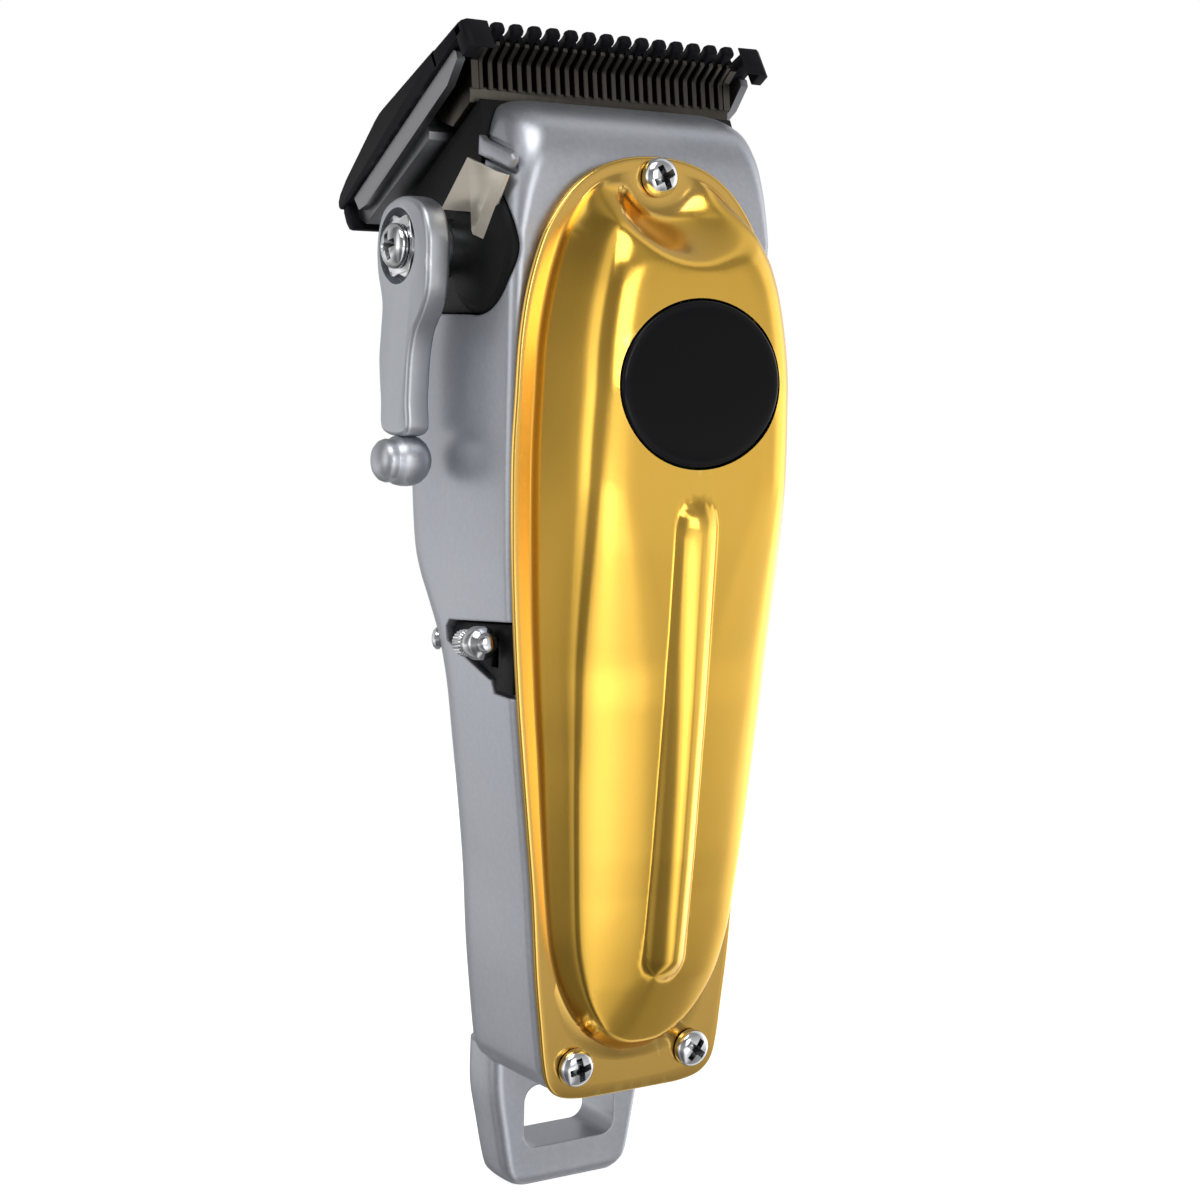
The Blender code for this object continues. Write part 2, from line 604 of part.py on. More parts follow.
def lever_arm(look, origin):
    """Flat cast lever: hub, waist, shank down to the knob."""
    outline = [(-24.6, 127.4), (-23.4, 130.6), (-20.6, 132.4), (-17.0, 132.6), (-13.8, 131.2), (-12.2, 128.2),
               (-12.0, 124.6), (-12.2, 121.0), (-13.6, 118.2), (-15.6, 115.6), (-16.6, 112.0), (-17.0, 107.0),
               (-17.2, 102.8), (-23.6, 102.8), (-24.4, 107.0), (-25.0, 112.0), (-24.6, 116.0), (-23.6, 119.4),
               (-24.2, 123.6)]
    outline = [(h + 1.2, z) for h, z in outline]
    outer = outward(LEVER_OUTER_X)
    arm = finish("lever_arm", prism(outline, outer, outward(LEVER_INNER_X)), look, origin)
    hole = turned([(4.3, -3.0), (4.3, LEVER_RECESS), (1.8, LEVER_RECESS), (1.8, 7.0)], (outer, HUB_H, HUB_Z),
                  (1, 0, 0), 28)
    cut(arm, finish("guide_lever_hole", hole, None))
    return arm


def lever_parts(looks):
    origin = spot(0.0, HUB_H, HUB_Z)
    lever_arm(looks["lever"], origin)
    knob = turned([(1.2, -4.4), (2.3, -4.1), (2.8, -3.2), (2.7, -2.4), (3.2, -1.7), (3.35, 0.0), (3.1, 1.4),
                   (2.2, 2.7), (0.8, 3.2)], (outward(LEVER_KNOB_X), LEVER_KNOB_H, LEVER_KNOB_Z), (1, 0, 0), 24)
    finish("lever_knob", knob, looks["lever"], origin, rounded=True)
    seat_x = outward(LEVER_OUTER_X) + LEVER_RECESS
    washer = turned([(1.8, 0.0), (3.8, 0.0), (3.8, 0.5), (1.8, 0.5)], (seat_x - 0.6, HUB_H, HUB_Z),
                    (1, 0, 0), 24)
    bmesh.ops.delete(washer, geom=[f for f in washer.faces if len(f.verts) > 4], context="FACES_ONLY")
    rims = [e for e in washer.edges if e.is_boundary]
    bmesh.ops.bridge_loops(washer, edges=rims)
    finish("lever_washer", washer, looks["screw"], origin)
    pan_screw("lever_screw", (seat_x - 0.7, HUB_H, HUB_Z), (-1, 0, 0), looks["screw"], 2.6, 1.4, 5.4, origin)
    cam_outer = outward(LEVER_INNER_X) + GAP
    cam = turned([(CAM_SHAFT_R, 0.0), (CAM_SHAFT_R, 6.6)], (cam_outer, HUB_H, HUB_Z), (1, 0, 0), 32)
    cam_obj = finish("lever_cam", cam, looks["steel"], origin)
    mean = math.radians(90.0) + BLADE_ANGLE
    rest = mean - LEVER_SWING / 2
    pin_h = HUB_H + CAM_THROW * math.cos(rest)
    pin_z = HUB_Z + CAM_THROW * math.sin(rest)
    pin = turned([(CAM_PIN_R, 5.6), (CAM_PIN_R, 9.0)], (cam_outer, pin_h, pin_z), (1, 0, 0), 20)
    cut(cam_obj, finish("guide_cam_pin", pin, None), "UNION")
    bore = turned([(1.75, -6.9), (1.75, 5.3)], (cam_outer, HUB_H, HUB_Z), (1, 0, 0), 20)
    cut(cam_obj, finish("guide_cam_bore", bore, None))


def drive_parts(looks):
    can = turned([(MOTOR_R - 0.8, MOTOR_LOW_Z), (MOTOR_R, MOTOR_LOW_Z + 0.8), (MOTOR_R, MOTOR_HIGH_Z - 0.8),
                  (MOTOR_R - 0.8, MOTOR_HIGH_Z)], (0.0, MOTOR_H, 0.0), (0, 0, 1), 32)
    can_obj = finish("motor_can", can, looks["steel"], rounded=False)
    bore = turned([(2.6, MOTOR_HIGH_Z - 4.0), (2.6, MOTOR_HIGH_Z + 5.0)], (0.0, MOTOR_H, 0.0), (0, 0, 1), 20)
    cut(can_obj, finish("guide_motor_bore", bore, None))
    cap = turned([(MOTOR_R - 1.6, 83.0), (MOTOR_R - 0.6, 84.0), (MOTOR_R - 0.6, MOTOR_LOW_Z - GAP)],
                 (0.0, MOTOR_H, 0.0), (0, 0, 1), 32)
    finish("motor_end_cap", cap, looks["black"])
    axis = spot(0.0, MOTOR_H, MOTOR_HIGH_Z)
    shaft = turned([(1.0, MOTOR_HIGH_Z - 3.6), (1.0, MOTOR_HIGH_Z + 6.0)], (0.0, MOTOR_H, 0.0), (0, 0, 1), 20)
    finish("motor_shaft", shaft, looks["steel"], axis)
    disc = turned([(DISC_R - 0.4, 116.2), (DISC_R, 116.6), (DISC_R, 120.4), (DISC_R - 0.4, 120.8)],
                  (0.0, MOTOR_H, 0.0), (0, 0, 1), 28)
    disc_obj = finish("drive_eccentric", disc, looks["brass"], axis)
    pin = turned([(DRIVE_PIN_R, 120.0), (DRIVE_PIN_R, 128.4), (DRIVE_PIN_R - 0.3, 128.8)],
                 (0.0, MOTOR_H - DRIVE_THROW, 0.0), (0, 0, 1), 20)
    cut(disc_obj, finish("guide_drive_pin", pin, None), "UNION")
    hole = turned([(1.1, 110.0), (1.1, 120.3)], (0.0, MOTOR_H, 0.0), (0, 0, 1), 20)
    cut(disc_obj, finish("guide_disc_bore", hole, None))


def power_parts(looks):
    cell = turned([(BATTERY_R - 0.5, BATTERY_LOW_Z), (BATTERY_R, BATTERY_LOW_Z + 0.5),
                   (BATTERY_R, BATTERY_HIGH_Z - 1.2), (BATTERY_R - 1.0, BATTERY_HIGH_Z - 0.6),
                   (4.0, BATTERY_HIGH_Z - 0.5), (3.2, BATTERY_HIGH_Z + 0.8)], (0.0, BATTERY_H, 0.0), (0, 0, 1), 32)
    finish("battery_cell", cell, looks["cell"])
    finish("main_board", box((-10.5, 3.4, 58.0), (10.5, 4.8, 104.0)), looks["board"])
    board_half = DISPLAY_RX - 2.8
    finish("display_board", box((-board_half, 8.0, 102.0), (board_half, 9.2, 118.4)), looks["board"])
    lens = upright(oval(DISPLAY_RX, DISPLAY_RZ, 0.0, DISPLAY_Z), 9.6, DISPLAY_FRONT_H)
    lens_obj = finish("display_lens", lens, looks["lens"])
    edge = lens_obj.modifiers.new("edge", "BEVEL")
    edge.width = 0.3 * MM
    edge.segments = 2
    edge.limit_method = "ANGLE"
    socket = box((-4.5, -8.9, 16.6), (4.5, -5.7, 23.6))
    socket_obj = finish("charge_socket", socket, looks["black"])
    mouth = box((-3.6, -8.2, 10.0), (3.6, -6.4, 22.0))
    cut(socket_obj, finish("guide_socket_mouth", mouth, None))
    floor_x = outward(SWITCH_FLOOR_X)
    bezel = prism(SWITCH_BEZEL, floor_x - 2.2, floor_x - 1.0 - GAP)
    bezel_obj = finish("switch_bezel", bezel, looks["black"])
    stem_low, stem_high = SWITCH_Z - 0.5, SWITCH_Z + 0.6
    slot = box((-40.0, -7.1, stem_low - SWITCH_TRAVEL - GAP), (-10.0, -5.4, stem_high + GAP))
    cut(bezel_obj, finish("guide_bezel_slot", slot, None))
    switch_body = box((floor_x + 0.8, -15.4, 70.0), (floor_x + 5.8, -3.4, 80.0))
    finish("power_switch_body", switch_body, looks["black"])
    knob = turned([(1.2, -1.0), (1.5, -0.7), (1.5, 0.9), (1.2, 1.1), (1.2, 1.6), (KNOB_R, 1.9), (KNOB_R, 3.6),
                   (1.6, 4.1), (1.1, 4.3), (1.0, 5.2), (0.5, 5.5)], (outward(SWITCH_KNOB_X), -11.0, SWITCH_Z),
                  (-0.26, 0.966, 0.0), 24)
    knob_obj = finish("power_knob", knob, looks["screw"], spot(outward(SWITCH_KNOB_X), -8.3, SWITCH_Z))
    stem = box((outward(SWITCH_KNOB_X) - 1.2, -6.8, stem_low), (floor_x + 0.5, -5.7, stem_high))
    cut(knob_obj, finish("guide_knob_stem", stem, None), "UNION")
    rear = turned([(1.2, -0.2), (1.5, 0.0), (1.5, 0.5), (1.1, 0.9), (0.4, 1.1)],
                  (outward(-18.6), -23.2, 76.6), (-0.84, -0.54, 0.0), 20)
    finish("rear_screw", rear, looks["screw"])


def wiring(looks):
    leads = {
        "motor_lead_red": [(4.0, -12.0, 82.4), (6.5, -9.0, 80.5), (8.0, -3.0, 78.0), (8.0, 2.0, 72.0)],
        "motor_lead_black": [(-4.0, -12.0, 82.4), (-6.5, -9.0, 80.5), (-8.0, -3.0, 78.0), (-8.0, 2.0, 72.0)],
        "battery_lead_red": [(2.0, -12.6, 77.0), (4.5, -7.0, 78.0), (5.0, -1.0, 72.0), (5.0, 2.2, 66.0)],
        "battery_lead_black": [(8.6, -6.2, 27.0), (8.6, -5.6, 36.0), (8.2, -1.4, 47.0), (7.0, 2.2, 62.0)],
    }
    for name, points in leads.items():
        finish(name, tube(bend(points), 0.6), looks[name.split("_")[-1]], rounded=True)


def clear_scene():
    for obj in list(bpy.data.objects):
        bpy.data.objects.remove(obj, do_unlink=True)


def build():
    clear_scene()
    looks = {
        "silver": material("silver_casting", (0.36, 0.38, 0.42), 0.35, 0.9),
        "gold": material("gold_cover", (0.72, 0.46, 0.10), 0.22, 1.0),
        "black": material("black_plastic", (0.015, 0.015, 0.017), 0.4, 0.0),
        "blade": material("black_blade", (0.02, 0.02, 0.022), 0.3, 0.6),
        "cutter": material("dark_steel", (0.12, 0.11, 0.10), 0.35, 1.0),
        "lever": material("satin_silver", (0.45, 0.47, 0.50), 0.35, 0.9),
        "screw": material("chrome_screw", (0.75, 0.76, 0.78), 0.15, 1.0),
        "steel": material("bright_steel", (0.55, 0.56, 0.58), 0.3, 1.0),
        "brass": material("brass_drive", (0.65, 0.48, 0.2), 0.3, 1.0),
        "clip": material("spring_clip", (0.55, 0.50, 0.42), 0.4, 0.6),
        "lens": material("display_gloss", (0.006, 0.006, 0.008), 0.08, 0.0),
        "cell": material("cell_sleeve", (0.05, 0.16, 0.4), 0.45, 0.0),
        "board": material("green_board", (0.02, 0.16, 0.06), 0.45, 0.0),
        "red": material("red_lead", (0.5, 0.02, 0.02), 0.5, 0.0),
    }
    body_shell(looks["silver"])
    top_cover(looks["gold"])
    for name, (x, z) in zip(("top", "left", "right"), cover_screw_spots()):
        pan_screw(f"cover_screw_{name}", (x, 0.2, z), (0, 1, 0), looks["screw"])
    chassis(looks["black"])
    for side, x in (("left", -CHASSIS_SCREW_X), ("right", CHASSIS_SCREW_X)):
        seat = (x, -5.7, CHASSIS_SCREW_Z)
        pan_screw(f"chassis_screw_{side}", seat, (0, 1, 0), looks["screw"], 2.2, 1.1, 5.6)
    fixed_blade(looks["blade"])
    cutter_blade(looks["cutter"])
    cutter_follower(looks["black"])
    blade_carrier(looks["cutter"])
    h, z = blade_spot(BLADE_SCREW_U, BLADE_SCREW_SEAT + BLADE_GAP)
    for side, x in (("left", -BLADE_SCREW_X), ("right", BLADE_SCREW_X)):
        pan_screw(f"blade_screw_{side}", (x, h, z), BLADE_OUT, looks["screw"], 2.3, 1.1, 4.6)
    clip = [(-13.7, 137.7), (-5.0, 135.4), (-8.5, 131.2), (-11.2, 129.0), (-13.7, 130.9), (-19.0, 131.9)]
    finish("spring_clip", prism(clip, outward(-21.4), outward(-20.9)), looks["clip"])
    lever_parts(looks)
    drive_parts(looks)
    power_parts(looks)
    wiring(looks)


build()
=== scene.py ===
import math

import bmesh
import bpy
from mathutils import Matrix, Vector


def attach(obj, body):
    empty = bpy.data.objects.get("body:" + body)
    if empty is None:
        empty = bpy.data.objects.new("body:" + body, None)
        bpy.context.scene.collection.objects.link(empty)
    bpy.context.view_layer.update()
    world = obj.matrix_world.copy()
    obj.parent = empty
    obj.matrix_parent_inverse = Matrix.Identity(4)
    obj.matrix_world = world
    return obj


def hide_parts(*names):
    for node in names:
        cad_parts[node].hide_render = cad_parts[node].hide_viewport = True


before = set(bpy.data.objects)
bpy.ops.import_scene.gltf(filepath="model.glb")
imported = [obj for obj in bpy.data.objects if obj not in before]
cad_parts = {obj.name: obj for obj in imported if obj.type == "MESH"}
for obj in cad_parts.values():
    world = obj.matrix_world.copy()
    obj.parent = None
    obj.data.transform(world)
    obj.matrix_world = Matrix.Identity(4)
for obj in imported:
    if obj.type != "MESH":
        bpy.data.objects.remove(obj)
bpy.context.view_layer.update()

# Places are (x, h, z) in millimetres: h is the distance in front of the cover's flange.
MM = 0.001
LOOP_MID_H = -18.7
# Edges sharper than this stay sharp: ordinary pieces, fine steel ones, and the flowing cover.
CORNER_DEGREES, FINE_CORNERS, COVER_CORNERS = 34.0, 30.0, 50.0
CASTING_CORNERS, HUB_CORNERS, KNOB_CORNERS, ROUND_CORNERS = 28.0, 32.0, 40.0, 60.0

# Blades: u runs from the fixed blade's tips to its heel, v from the contact plane to the cover side.
BLADE_ANGLE = math.radians(33.0)
TIP_H, TIP_Z = -9.4, 153.4
BLADE_OUT = (0.0, math.sin(BLADE_ANGLE), -math.cos(BLADE_ANGLE))
TOOTH_PITCH = 1.43
FIXED_PITCH = 2.72
LONG_TEETH = 14
FIXED_HALF = 23.0
CARRIER_HALF = 21.4
CUTTER_HALF = 20.0
CUTTER_TEETH = 27
CUTTER_TIP_U, KNEE_U, KNEE_V, KNEE_DROP = 2.15, 4.9, 1.0, 5.3
# Ears at the fixed blade's ends, in (x, u): the root lies behind the cutter, the face stands ahead of it.
EAR_ROOT = [(20.6, 0.6), (21.2, 0.05), (22.1, 0.0), (22.8, 0.5), (23.0, 1.2), (23.0, 8.8), (20.6, 8.8)]
EAR_FACE = [(19.3, 0.05), (22.3, 0.0), (23.0, 0.5), (23.0, 2.4), (21.4, 2.4), (21.35, 0.3), (19.3, 0.3)]
EAR_HEIGHT = 2.9
# Cheeks of the blade carrier beside the cutter, in (u, v).
CHEEK = [(4.4, 0.2), (4.0, 0.8), (4.2, 1.7), (8.0, 3.0), (34.0, 3.0), (36.0, 2.4), (36.4, 0.2)]

# Cover. The flange is a shade duller than the dome, fading out between these two h.
FLANGE_TINT_FROM, FLANGE_TINT_TO = 0.5, 1.2
SCREW_TOP_Z = 135.8
CROWN_HALF_WIDTH = 17.8
BAR_LOW_Z, BAR_HIGH_Z, BAR_HALF_WIDTH = 36.5, 92.5, 3.3
DISPLAY_Z, DISPLAY_RX, DISPLAY_RZ = 110.2, 11.8, 10.3
WINDOW_HOLE_RX, WINDOW_HOLE_RZ = 12.1, 10.6
COVER_SEATS = ((0.0, 0.2, 135.8), (-9.1, 0.2, 21.5), (9.1, 0.2, 21.5))

# Lever, and the round seats beside it in the casting.
HUB, LEVER_KNOB = (-26.9, -18.9, 126.5), (-25.2, -18.8, 99.2)
NOTCH, NOTCH_R = (0.0, -9.9, 126.2), 8.25
BOSS, BOSS_R = (0.0, -9.6, 126.2), 8.2

# z, half width, front h, back h, back corner radius.
BODY_STATIONS = [
    (17.3, 9.5, -1.5, -23.6, 6.0), (18.3, 12.0, -1.5, -24.2, 7.0), (20.0, 13.2, -1.5, -24.4, 7.5),
    (22.5, 13.9, -1.5, -24.4, 8.0), (34.0, 15.3, -1.5, -24.5, 8.5), (44.5, 16.2, -1.5, -24.5, 9.0),
    (53.5, 17.2, -1.5, -24.4, 9.0), (62.5, 18.2, -1.5, -24.6, 9.0), (70.0, 19.0, -1.5, -25.3, 9.5),
    (76.0, 19.5, -1.5, -27.2, 10.0), (80.5, 19.8, -1.5, -29.6, 10.0), (84.5, 20.0, -1.5, -32.0, 10.0),
    (89.0, 20.2, -1.5, -33.2, 10.0), (100.0, 20.4, -1.5, -34.0, 10.0), (112.0, 20.4, -1.5, -34.2, 10.0),
    (124.0, 20.3, -1.5, -34.2, 10.0), (132.0, 19.9, -1.5, -34.0, 10.0), (137.0, 19.3, -1.6, -33.5, 10.0),
    (140.0, 18.9, -2.4, -33.0, 10.0), (142.5, 18.4, -4.2, -32.0, 9.0), (144.3, 17.7, -7.4, -31.0, 8.0),
    (145.3, 16.9, -11.0, -30.0, 7.0),
]
FRONT_CORNERS = [(108.0, 1.2), (128.0, 1.5), (134.0, 2.6), (140.0, 4.0), (146.0, 4.6)]
TAIL_STATIONS = [
    (0.0, 8.2, -15.4, -22.0, 1.6), (0.9, 9.4, -15.0, -22.4, 2.2), (2.6, 10.4, -15.0, -22.8, 2.6),
    (9.0, 11.6, -15.0, -23.3, 2.8), (14.0, 12.4, -15.0, -23.8, 3.2), (20.0, 12.6, -15.0, -24.0, 4.0),
]
# Right-hand half outlines, bottom to top: x, z.
FLANGE_HALF = [
    (0.0, 16.8), (4.0, 16.8), (8.0, 16.9), (11.1, 17.6), (13.0, 19.4), (13.8, 22.4), (14.4, 27.2),
    (15.2, 34.0), (16.0, 44.4), (17.0, 53.6), (18.0, 62.6), (18.8, 70.3), (19.6, 80.4), (20.1, 90.0),
    (20.3, 100.4), (20.0, 107.7), (19.6, 115.1), (18.7, 121.2), (17.1, 126.7), (15.3, 130.4),
    (12.2, 134.2), (8.6, 136.7), (4.3, 138.1), (0.0, 138.5),
]
CROWN_HALF = [
    (0.0, 22.5), (2.4, 22.7), (4.8, 23.6), (7.4, 25.4), (9.6, 28.0), (11.3, 31.0), (12.6, 34.6),
    (13.5, 38.6), (14.3, 45.4), (15.1, 53.9), (15.8, 62.6), (16.5, 70.3), (17.2, 80.4), (17.6, 90.0),
    (17.8, 100.4), (17.6, 107.7), (17.2, 115.1), (16.2, 121.2), (14.7, 126.5), (13.0, 130.2),
    (10.2, 133.7), (7.2, 135.6), (3.6, 136.6), (0.0, 136.8),
]
# z, how far in the dome goes on rising, and its share of the height.
DOME = [(24.0, 15.0, 0.55), (45.0, 17.5, 0.50), (75.0, 16.0, 0.42), (97.0, 8.5, 0.27), (122.0, 8.0, 0.28),
        (134.0, 11.0, 0.40)]
# z, how high the pressed bar stands.
BAR_BULGE = [(36.0, 1.95), (60.0, 1.85), (92.0, 1.35)]
# z, how far in the steep flank reaches.
FLANK_RUN = [(60.0, 1.9), (100.0, 2.4)]
# z, how softly the flank turns into the dome.
SHOULDER = [(60.0, 0.02), (95.0, 0.10), (125.0, 0.14)]
CROWN_HEIGHTS = [(22.0, 4.5), (33.0, 6.6), (50.0, 8.2), (70.0, 9.7), (90.0, 10.8), (110.0, 11.4),
                 (125.0, 10.6), (135.5, 8.4)]
SWITCH_POCKET = [(-0.5, 80.0), (-16.4, 78.6), (-17.4, 77.6), (-17.4, 75.8), (-6.6, 71.9), (-6.0, 70.3),
                 (-0.5, 70.0)]
TAB_POCKET = [(-11.0, 140.8), (-9.2, 140.2), (-2.3, 138.2), (-1.7, 137.0), (-3.2, 135.4), (-11.0, 137.6)]
BLADE_SCREW_U, BLADE_SCREW_X = 29.0, 14.0
CHASSIS_SCREWS = ((-9.0, -5.7, 122.6), (9.0, -5.7, 122.6))
# The side switch's place, and the way its knob points.
SWITCH, SWITCH_WAY = (-20.9, -9.6, 76.4), (0.0, 0.99, 0.12)
# The spring strip's outer and inner face.
STRIP_SIDES = (-21.35, -20.95)
# The hanging loop's hole: half width, half height, corner radius, middle z.
LOOP_HOLE = (7.3, 4.4, 2.2, 9.6)
SCREW_HOLE_R = 1.4
CASTING_WALL, COVER_WALL = 1.8, 1.15
# How far two copies of CAD solids are shifted; the stud's is along world X, Y, Z.
BEZEL_REACH, STUD_SHIFT = 1.3, (1.0, -0.75, -1.4)
WASHER_R, WASHER_DIP, WASHER_POINTS = 4.35, 0.75, 6
LEVER_OUTLINE = [
    (-24.7, 127.4), (-23.2, 131.0), (-19.6, 132.6), (-15.8, 132.6), (-12.6, 131.2), (-11.0, 128.2),
    (-10.8, 124.6), (-11.0, 121.0), (-12.4, 118.2), (-14.4, 115.6), (-15.4, 112.0), (-15.8, 107.0),
    (-16.0, 102.8), (-22.4, 102.8), (-23.2, 107.0), (-23.8, 112.0), (-23.4, 116.0), (-23.2, 119.4),
    (-24.5, 123.4),
]

# How bright the surround is, by degrees from the cover's side towards the lever's side:
# straight ahead and upwards first, then downwards.
GLOW_ABOVE = [(-180, 0.25), (-112, 0.45), (-95, 0.80), (-74, 0.70), (-60, 0.30), (-34, 0.32), (-14, 0.36),
              (6, 0.33), (26, 0.15), (60, 0.17), (80, 0.80), (96, 0.70), (108, 0.19), (132, 0.13),
              (150, 0.36), (168, 0.34), (180, 0.25)]
GLOW_BELOW = [(-180, 0.18), (-124, 0.70), (-112, 1.10), (-96, 1.15), (-86, 0.95), (-77, 0.42), (-48, 0.40),
              (-34, 0.29), (-22, 0.38), (-9, 0.80), (8, 1.3), (20, 0.75), (30, 0.17), (60, 0.14), (82, 0.40),
              (96, 0.30), (108, 0.17), (145, 0.52), (180, 0.18)]
# The same by height: -1 is straight down, 1 straight up.
GLOW_HEIGHTS = [(-1.0, 0.30), (-0.55, 0.34), (-0.36, 0.50), (-0.24, 0.85), (-0.12, 1.0), (0.0, 0.85),
                (0.25, 0.66), (0.6, 0.42), (1.0, 0.40)]


# ---------------------------------------------------------------- places and curves

def spot(x, h, z):
    return Vector((x * MM, (LOOP_MID_H - h) * MM, z * MM))


def blade_spot(u, v):
    h = TIP_H - u * math.cos(BLADE_ANGLE) + v * math.sin(BLADE_ANGLE)
    z = TIP_Z - u * math.sin(BLADE_ANGLE) - v * math.cos(BLADE_ANGLE)
    return h, z


def smooth(t):
    t = min(max(t, 0.0), 1.0)
    return t * t * (3.0 - 2.0 * t)


def reading(table, z):
    """Straight-line reading of a table of (z, value, ...); returns the values as a list."""
    if z <= table[0][0]:
        return list(table[0][1:])
    for low, high in zip(table, table[1:]):
        if z <= high[0]:
            t = (z - low[0]) / (high[0] - low[0])
            return [a + (b - a) * t for a, b in zip(low[1:], high[1:])]
    return list(table[-1][1:])


def passing(p, q, r, s, t):
    """Catmull-Rom: the value at share t of the way from q to r."""
    square = (2 * p - 5 * q + 4 * r - s) * t * t
    return 0.5 * (2 * q + (r - p) * t + square + (3 * q - p - 3 * r + s) * t ** 3)


def flowing(table, steps):
    """The table's rows again with rounder passages between them (Catmull-Rom)."""
    rows = [table[0]] + list(table) + [table[-1]]
    made = []
    for a, b, c, d in zip(rows, rows[1:], rows[2:], rows[3:]):
        for k in range(steps):
            t = k / steps
            made.append(tuple(passing(*near, t) for near in zip(a, b, c, d)))
    made.append(tuple(table[-1]))
    return made


def ring_of(points, count):
    """Closed smooth outline through the points, resampled to an even spacing."""
    whole = len(points)
    fine = []
    for i in range(whole):
        a, b, c, d = (points[(i + k - 1) % whole] for k in range(4))
        for k in range(12):
            t = k / 12
            fine.append(tuple(passing(*near, t) for near in zip(a, b, c, d)))
    lengths = [0.0]
    for a, b in zip(fine, fine[1:] + fine[:1]):
        lengths.append(lengths[-1] + math.dist(a, b))
    made, at = [], 0
    for k in range(count):
        want = lengths[-1] * k / count
        while lengths[at + 1] < want:
            at += 1
        t = (want - lengths[at]) / (lengths[at + 1] - lengths[at])
        a, b = fine[at], fine[(at + 1) % len(fine)]
        made.append(tuple(p + (q - p) * t for p, q in zip(a, b)))
    return made


def around(count):
    """Cosine and sine at even steps round a circle."""
    return [(math.cos(math.tau * i / count), math.sin(math.tau * i / count)) for i in range(count)]


def mirrored(half):
    return half + [(-x, z) for x, z in reversed(half[1:-1])]


def inset_ring(ring, depth):
    """The outline moved inwards; the ring runs anticlockwise or clockwise alike."""
    area = sum(a[0] * b[1] - b[0] * a[1] for a, b in zip(ring, ring[1:] + ring[:1]))
    turn = 1.0 if area > 0.0 else -1.0
    made = []
    for i, point in enumerate(ring):
        a, b = ring[i - 1], ring[(i + 1) % len(ring)]
        dx, dy = b[0] - a[0], b[1] - a[1]
        size = math.hypot(dx, dy) or 1.0
        made.append((point[0] - turn * dy / size * depth, point[1] + turn * dx / size * depth))
    return made


# ---------------------------------------------------------------- meshes

def skin(rows, bm=None, caps=True):
    """Closed surface over rings of equal point counts."""
    bm = bm or bmesh.new()
    made = [[bm.verts.new(p) for p in row] for row in rows]
    count = len(made[0])
    for low, high in zip(made, made[1:]):
        for i in range(count):
            j = (i + 1) % count
            bm.faces.new((low[i], low[j], high[j], high[i]))
    if caps:
        bm.faces.new(list(reversed(made[0])))
        bm.faces.new(made[-1])
    return bm


def turned(profile, centre, axis, steps=48, bm=None, knurl=None):
    """Round solid from (radius, reach) pairs; knurl is (first row, last row, ridges, depth)."""
    along = Vector((axis[0], -axis[1], axis[2])).normalized()
    side = along.orthogonal().normalized()
    other = along.cross(side)
    rows = []
    for n, (radius, reach) in enumerate(profile):
        row = []
        for i in range(steps):
            a = math.tau * i / steps
            r = radius
            if knurl and knurl[0] <= n <= knurl[1]:
                r -= knurl[3] * (0.5 - 0.5 * math.cos(a * knurl[2]))
            row.append(spot(*centre) + (along * reach + (side * math.cos(a) + other * math.sin(a)) * r) * MM)
        rows.append(row)
    return skin(rows, bm)


def prism(outline, low_x, high_x, bm=None):
    return skin([[spot(x, h, z) for h, z in outline] for x in (low_x, high_x)], bm)


def blade_prism(outline, low_x, high_x, bm=None):
    return prism([blade_spot(u, v) for u, v in outline], low_x, high_x, bm)


def upright(outline, low_h, high_h, bm=None):
    return skin([[spot(x, h, z) for x, z in outline] for h in (low_h, high_h)], bm)


def pillowed(ring, low_x, high_x, edge, steps=5):
    """Slab with an (h, z) outline and rounded rims, running along x."""
    rows = [(low_x + edge * (1 - math.cos(math.pi / 2 * k / steps)),
             edge * (1 - math.sin(math.pi / 2 * k / steps))) for k in range(steps + 1)]
    rows += [(low_x + high_x - x, inset) for x, inset in reversed(rows)]
    return skin([[spot(x, h, z) for h, z in inset_ring(ring, inset)] for x, inset in rows])


def placed(name, data):
    """A new object in the scene."""
    obj = bpy.data.objects.new(name, data)
    bpy.context.scene.collection.objects.link(obj)
    return obj


def discard(objects):
    for obj in objects:
        bpy.data.objects.remove(obj, do_unlink=True)


def poured(name, bm, finish=None):
    """The bmesh as a mesh; the bmesh is used up."""
    mesh = bpy.data.meshes.new(name)
    bm.to_mesh(mesh)
    bm.free()
    if finish:
        mesh.materials.append(finish)
    return mesh


def shade(mesh, degrees=CORNER_DEGREES):
    for face in mesh.polygons:
        face.use_smooth = True
    mesh.set_sharp_from_angle(angle=math.radians(degrees))


def piece(name, bm, finish, degrees=CORNER_DEGREES):
    bmesh.ops.remove_doubles(bm, verts=bm.verts, dist=1e-7)
    bmesh.ops.recalc_face_normals(bm, faces=bm.faces)
    mesh = poured(name, bm, finish)
    if finish:
        shade(mesh, degrees)
    return placed(name, mesh)


def settle(obj, degrees=CORNER_DEGREES):
    """Turn what the modifiers make into the object's plain mesh."""
    seen = obj.evaluated_get(bpy.context.evaluated_depsgraph_get())
    plain = bpy.data.meshes.new_from_object(seen)
    obj.modifiers.clear()
    obj.data = plain
    shade(plain, degrees)
    return obj


def boolean(obj, operation, other):
    change = obj.modifiers.new("carve", "BOOLEAN")
    change.operation = operation
    change.object = other
    change.solver = "EXACT"


def joined(obj, parts):
    """Melt the parts into the object's skin."""
    for part in parts:
        boolean(obj, "UNION", part)
    settle(obj, FINE_CORNERS)
    discard(parts)


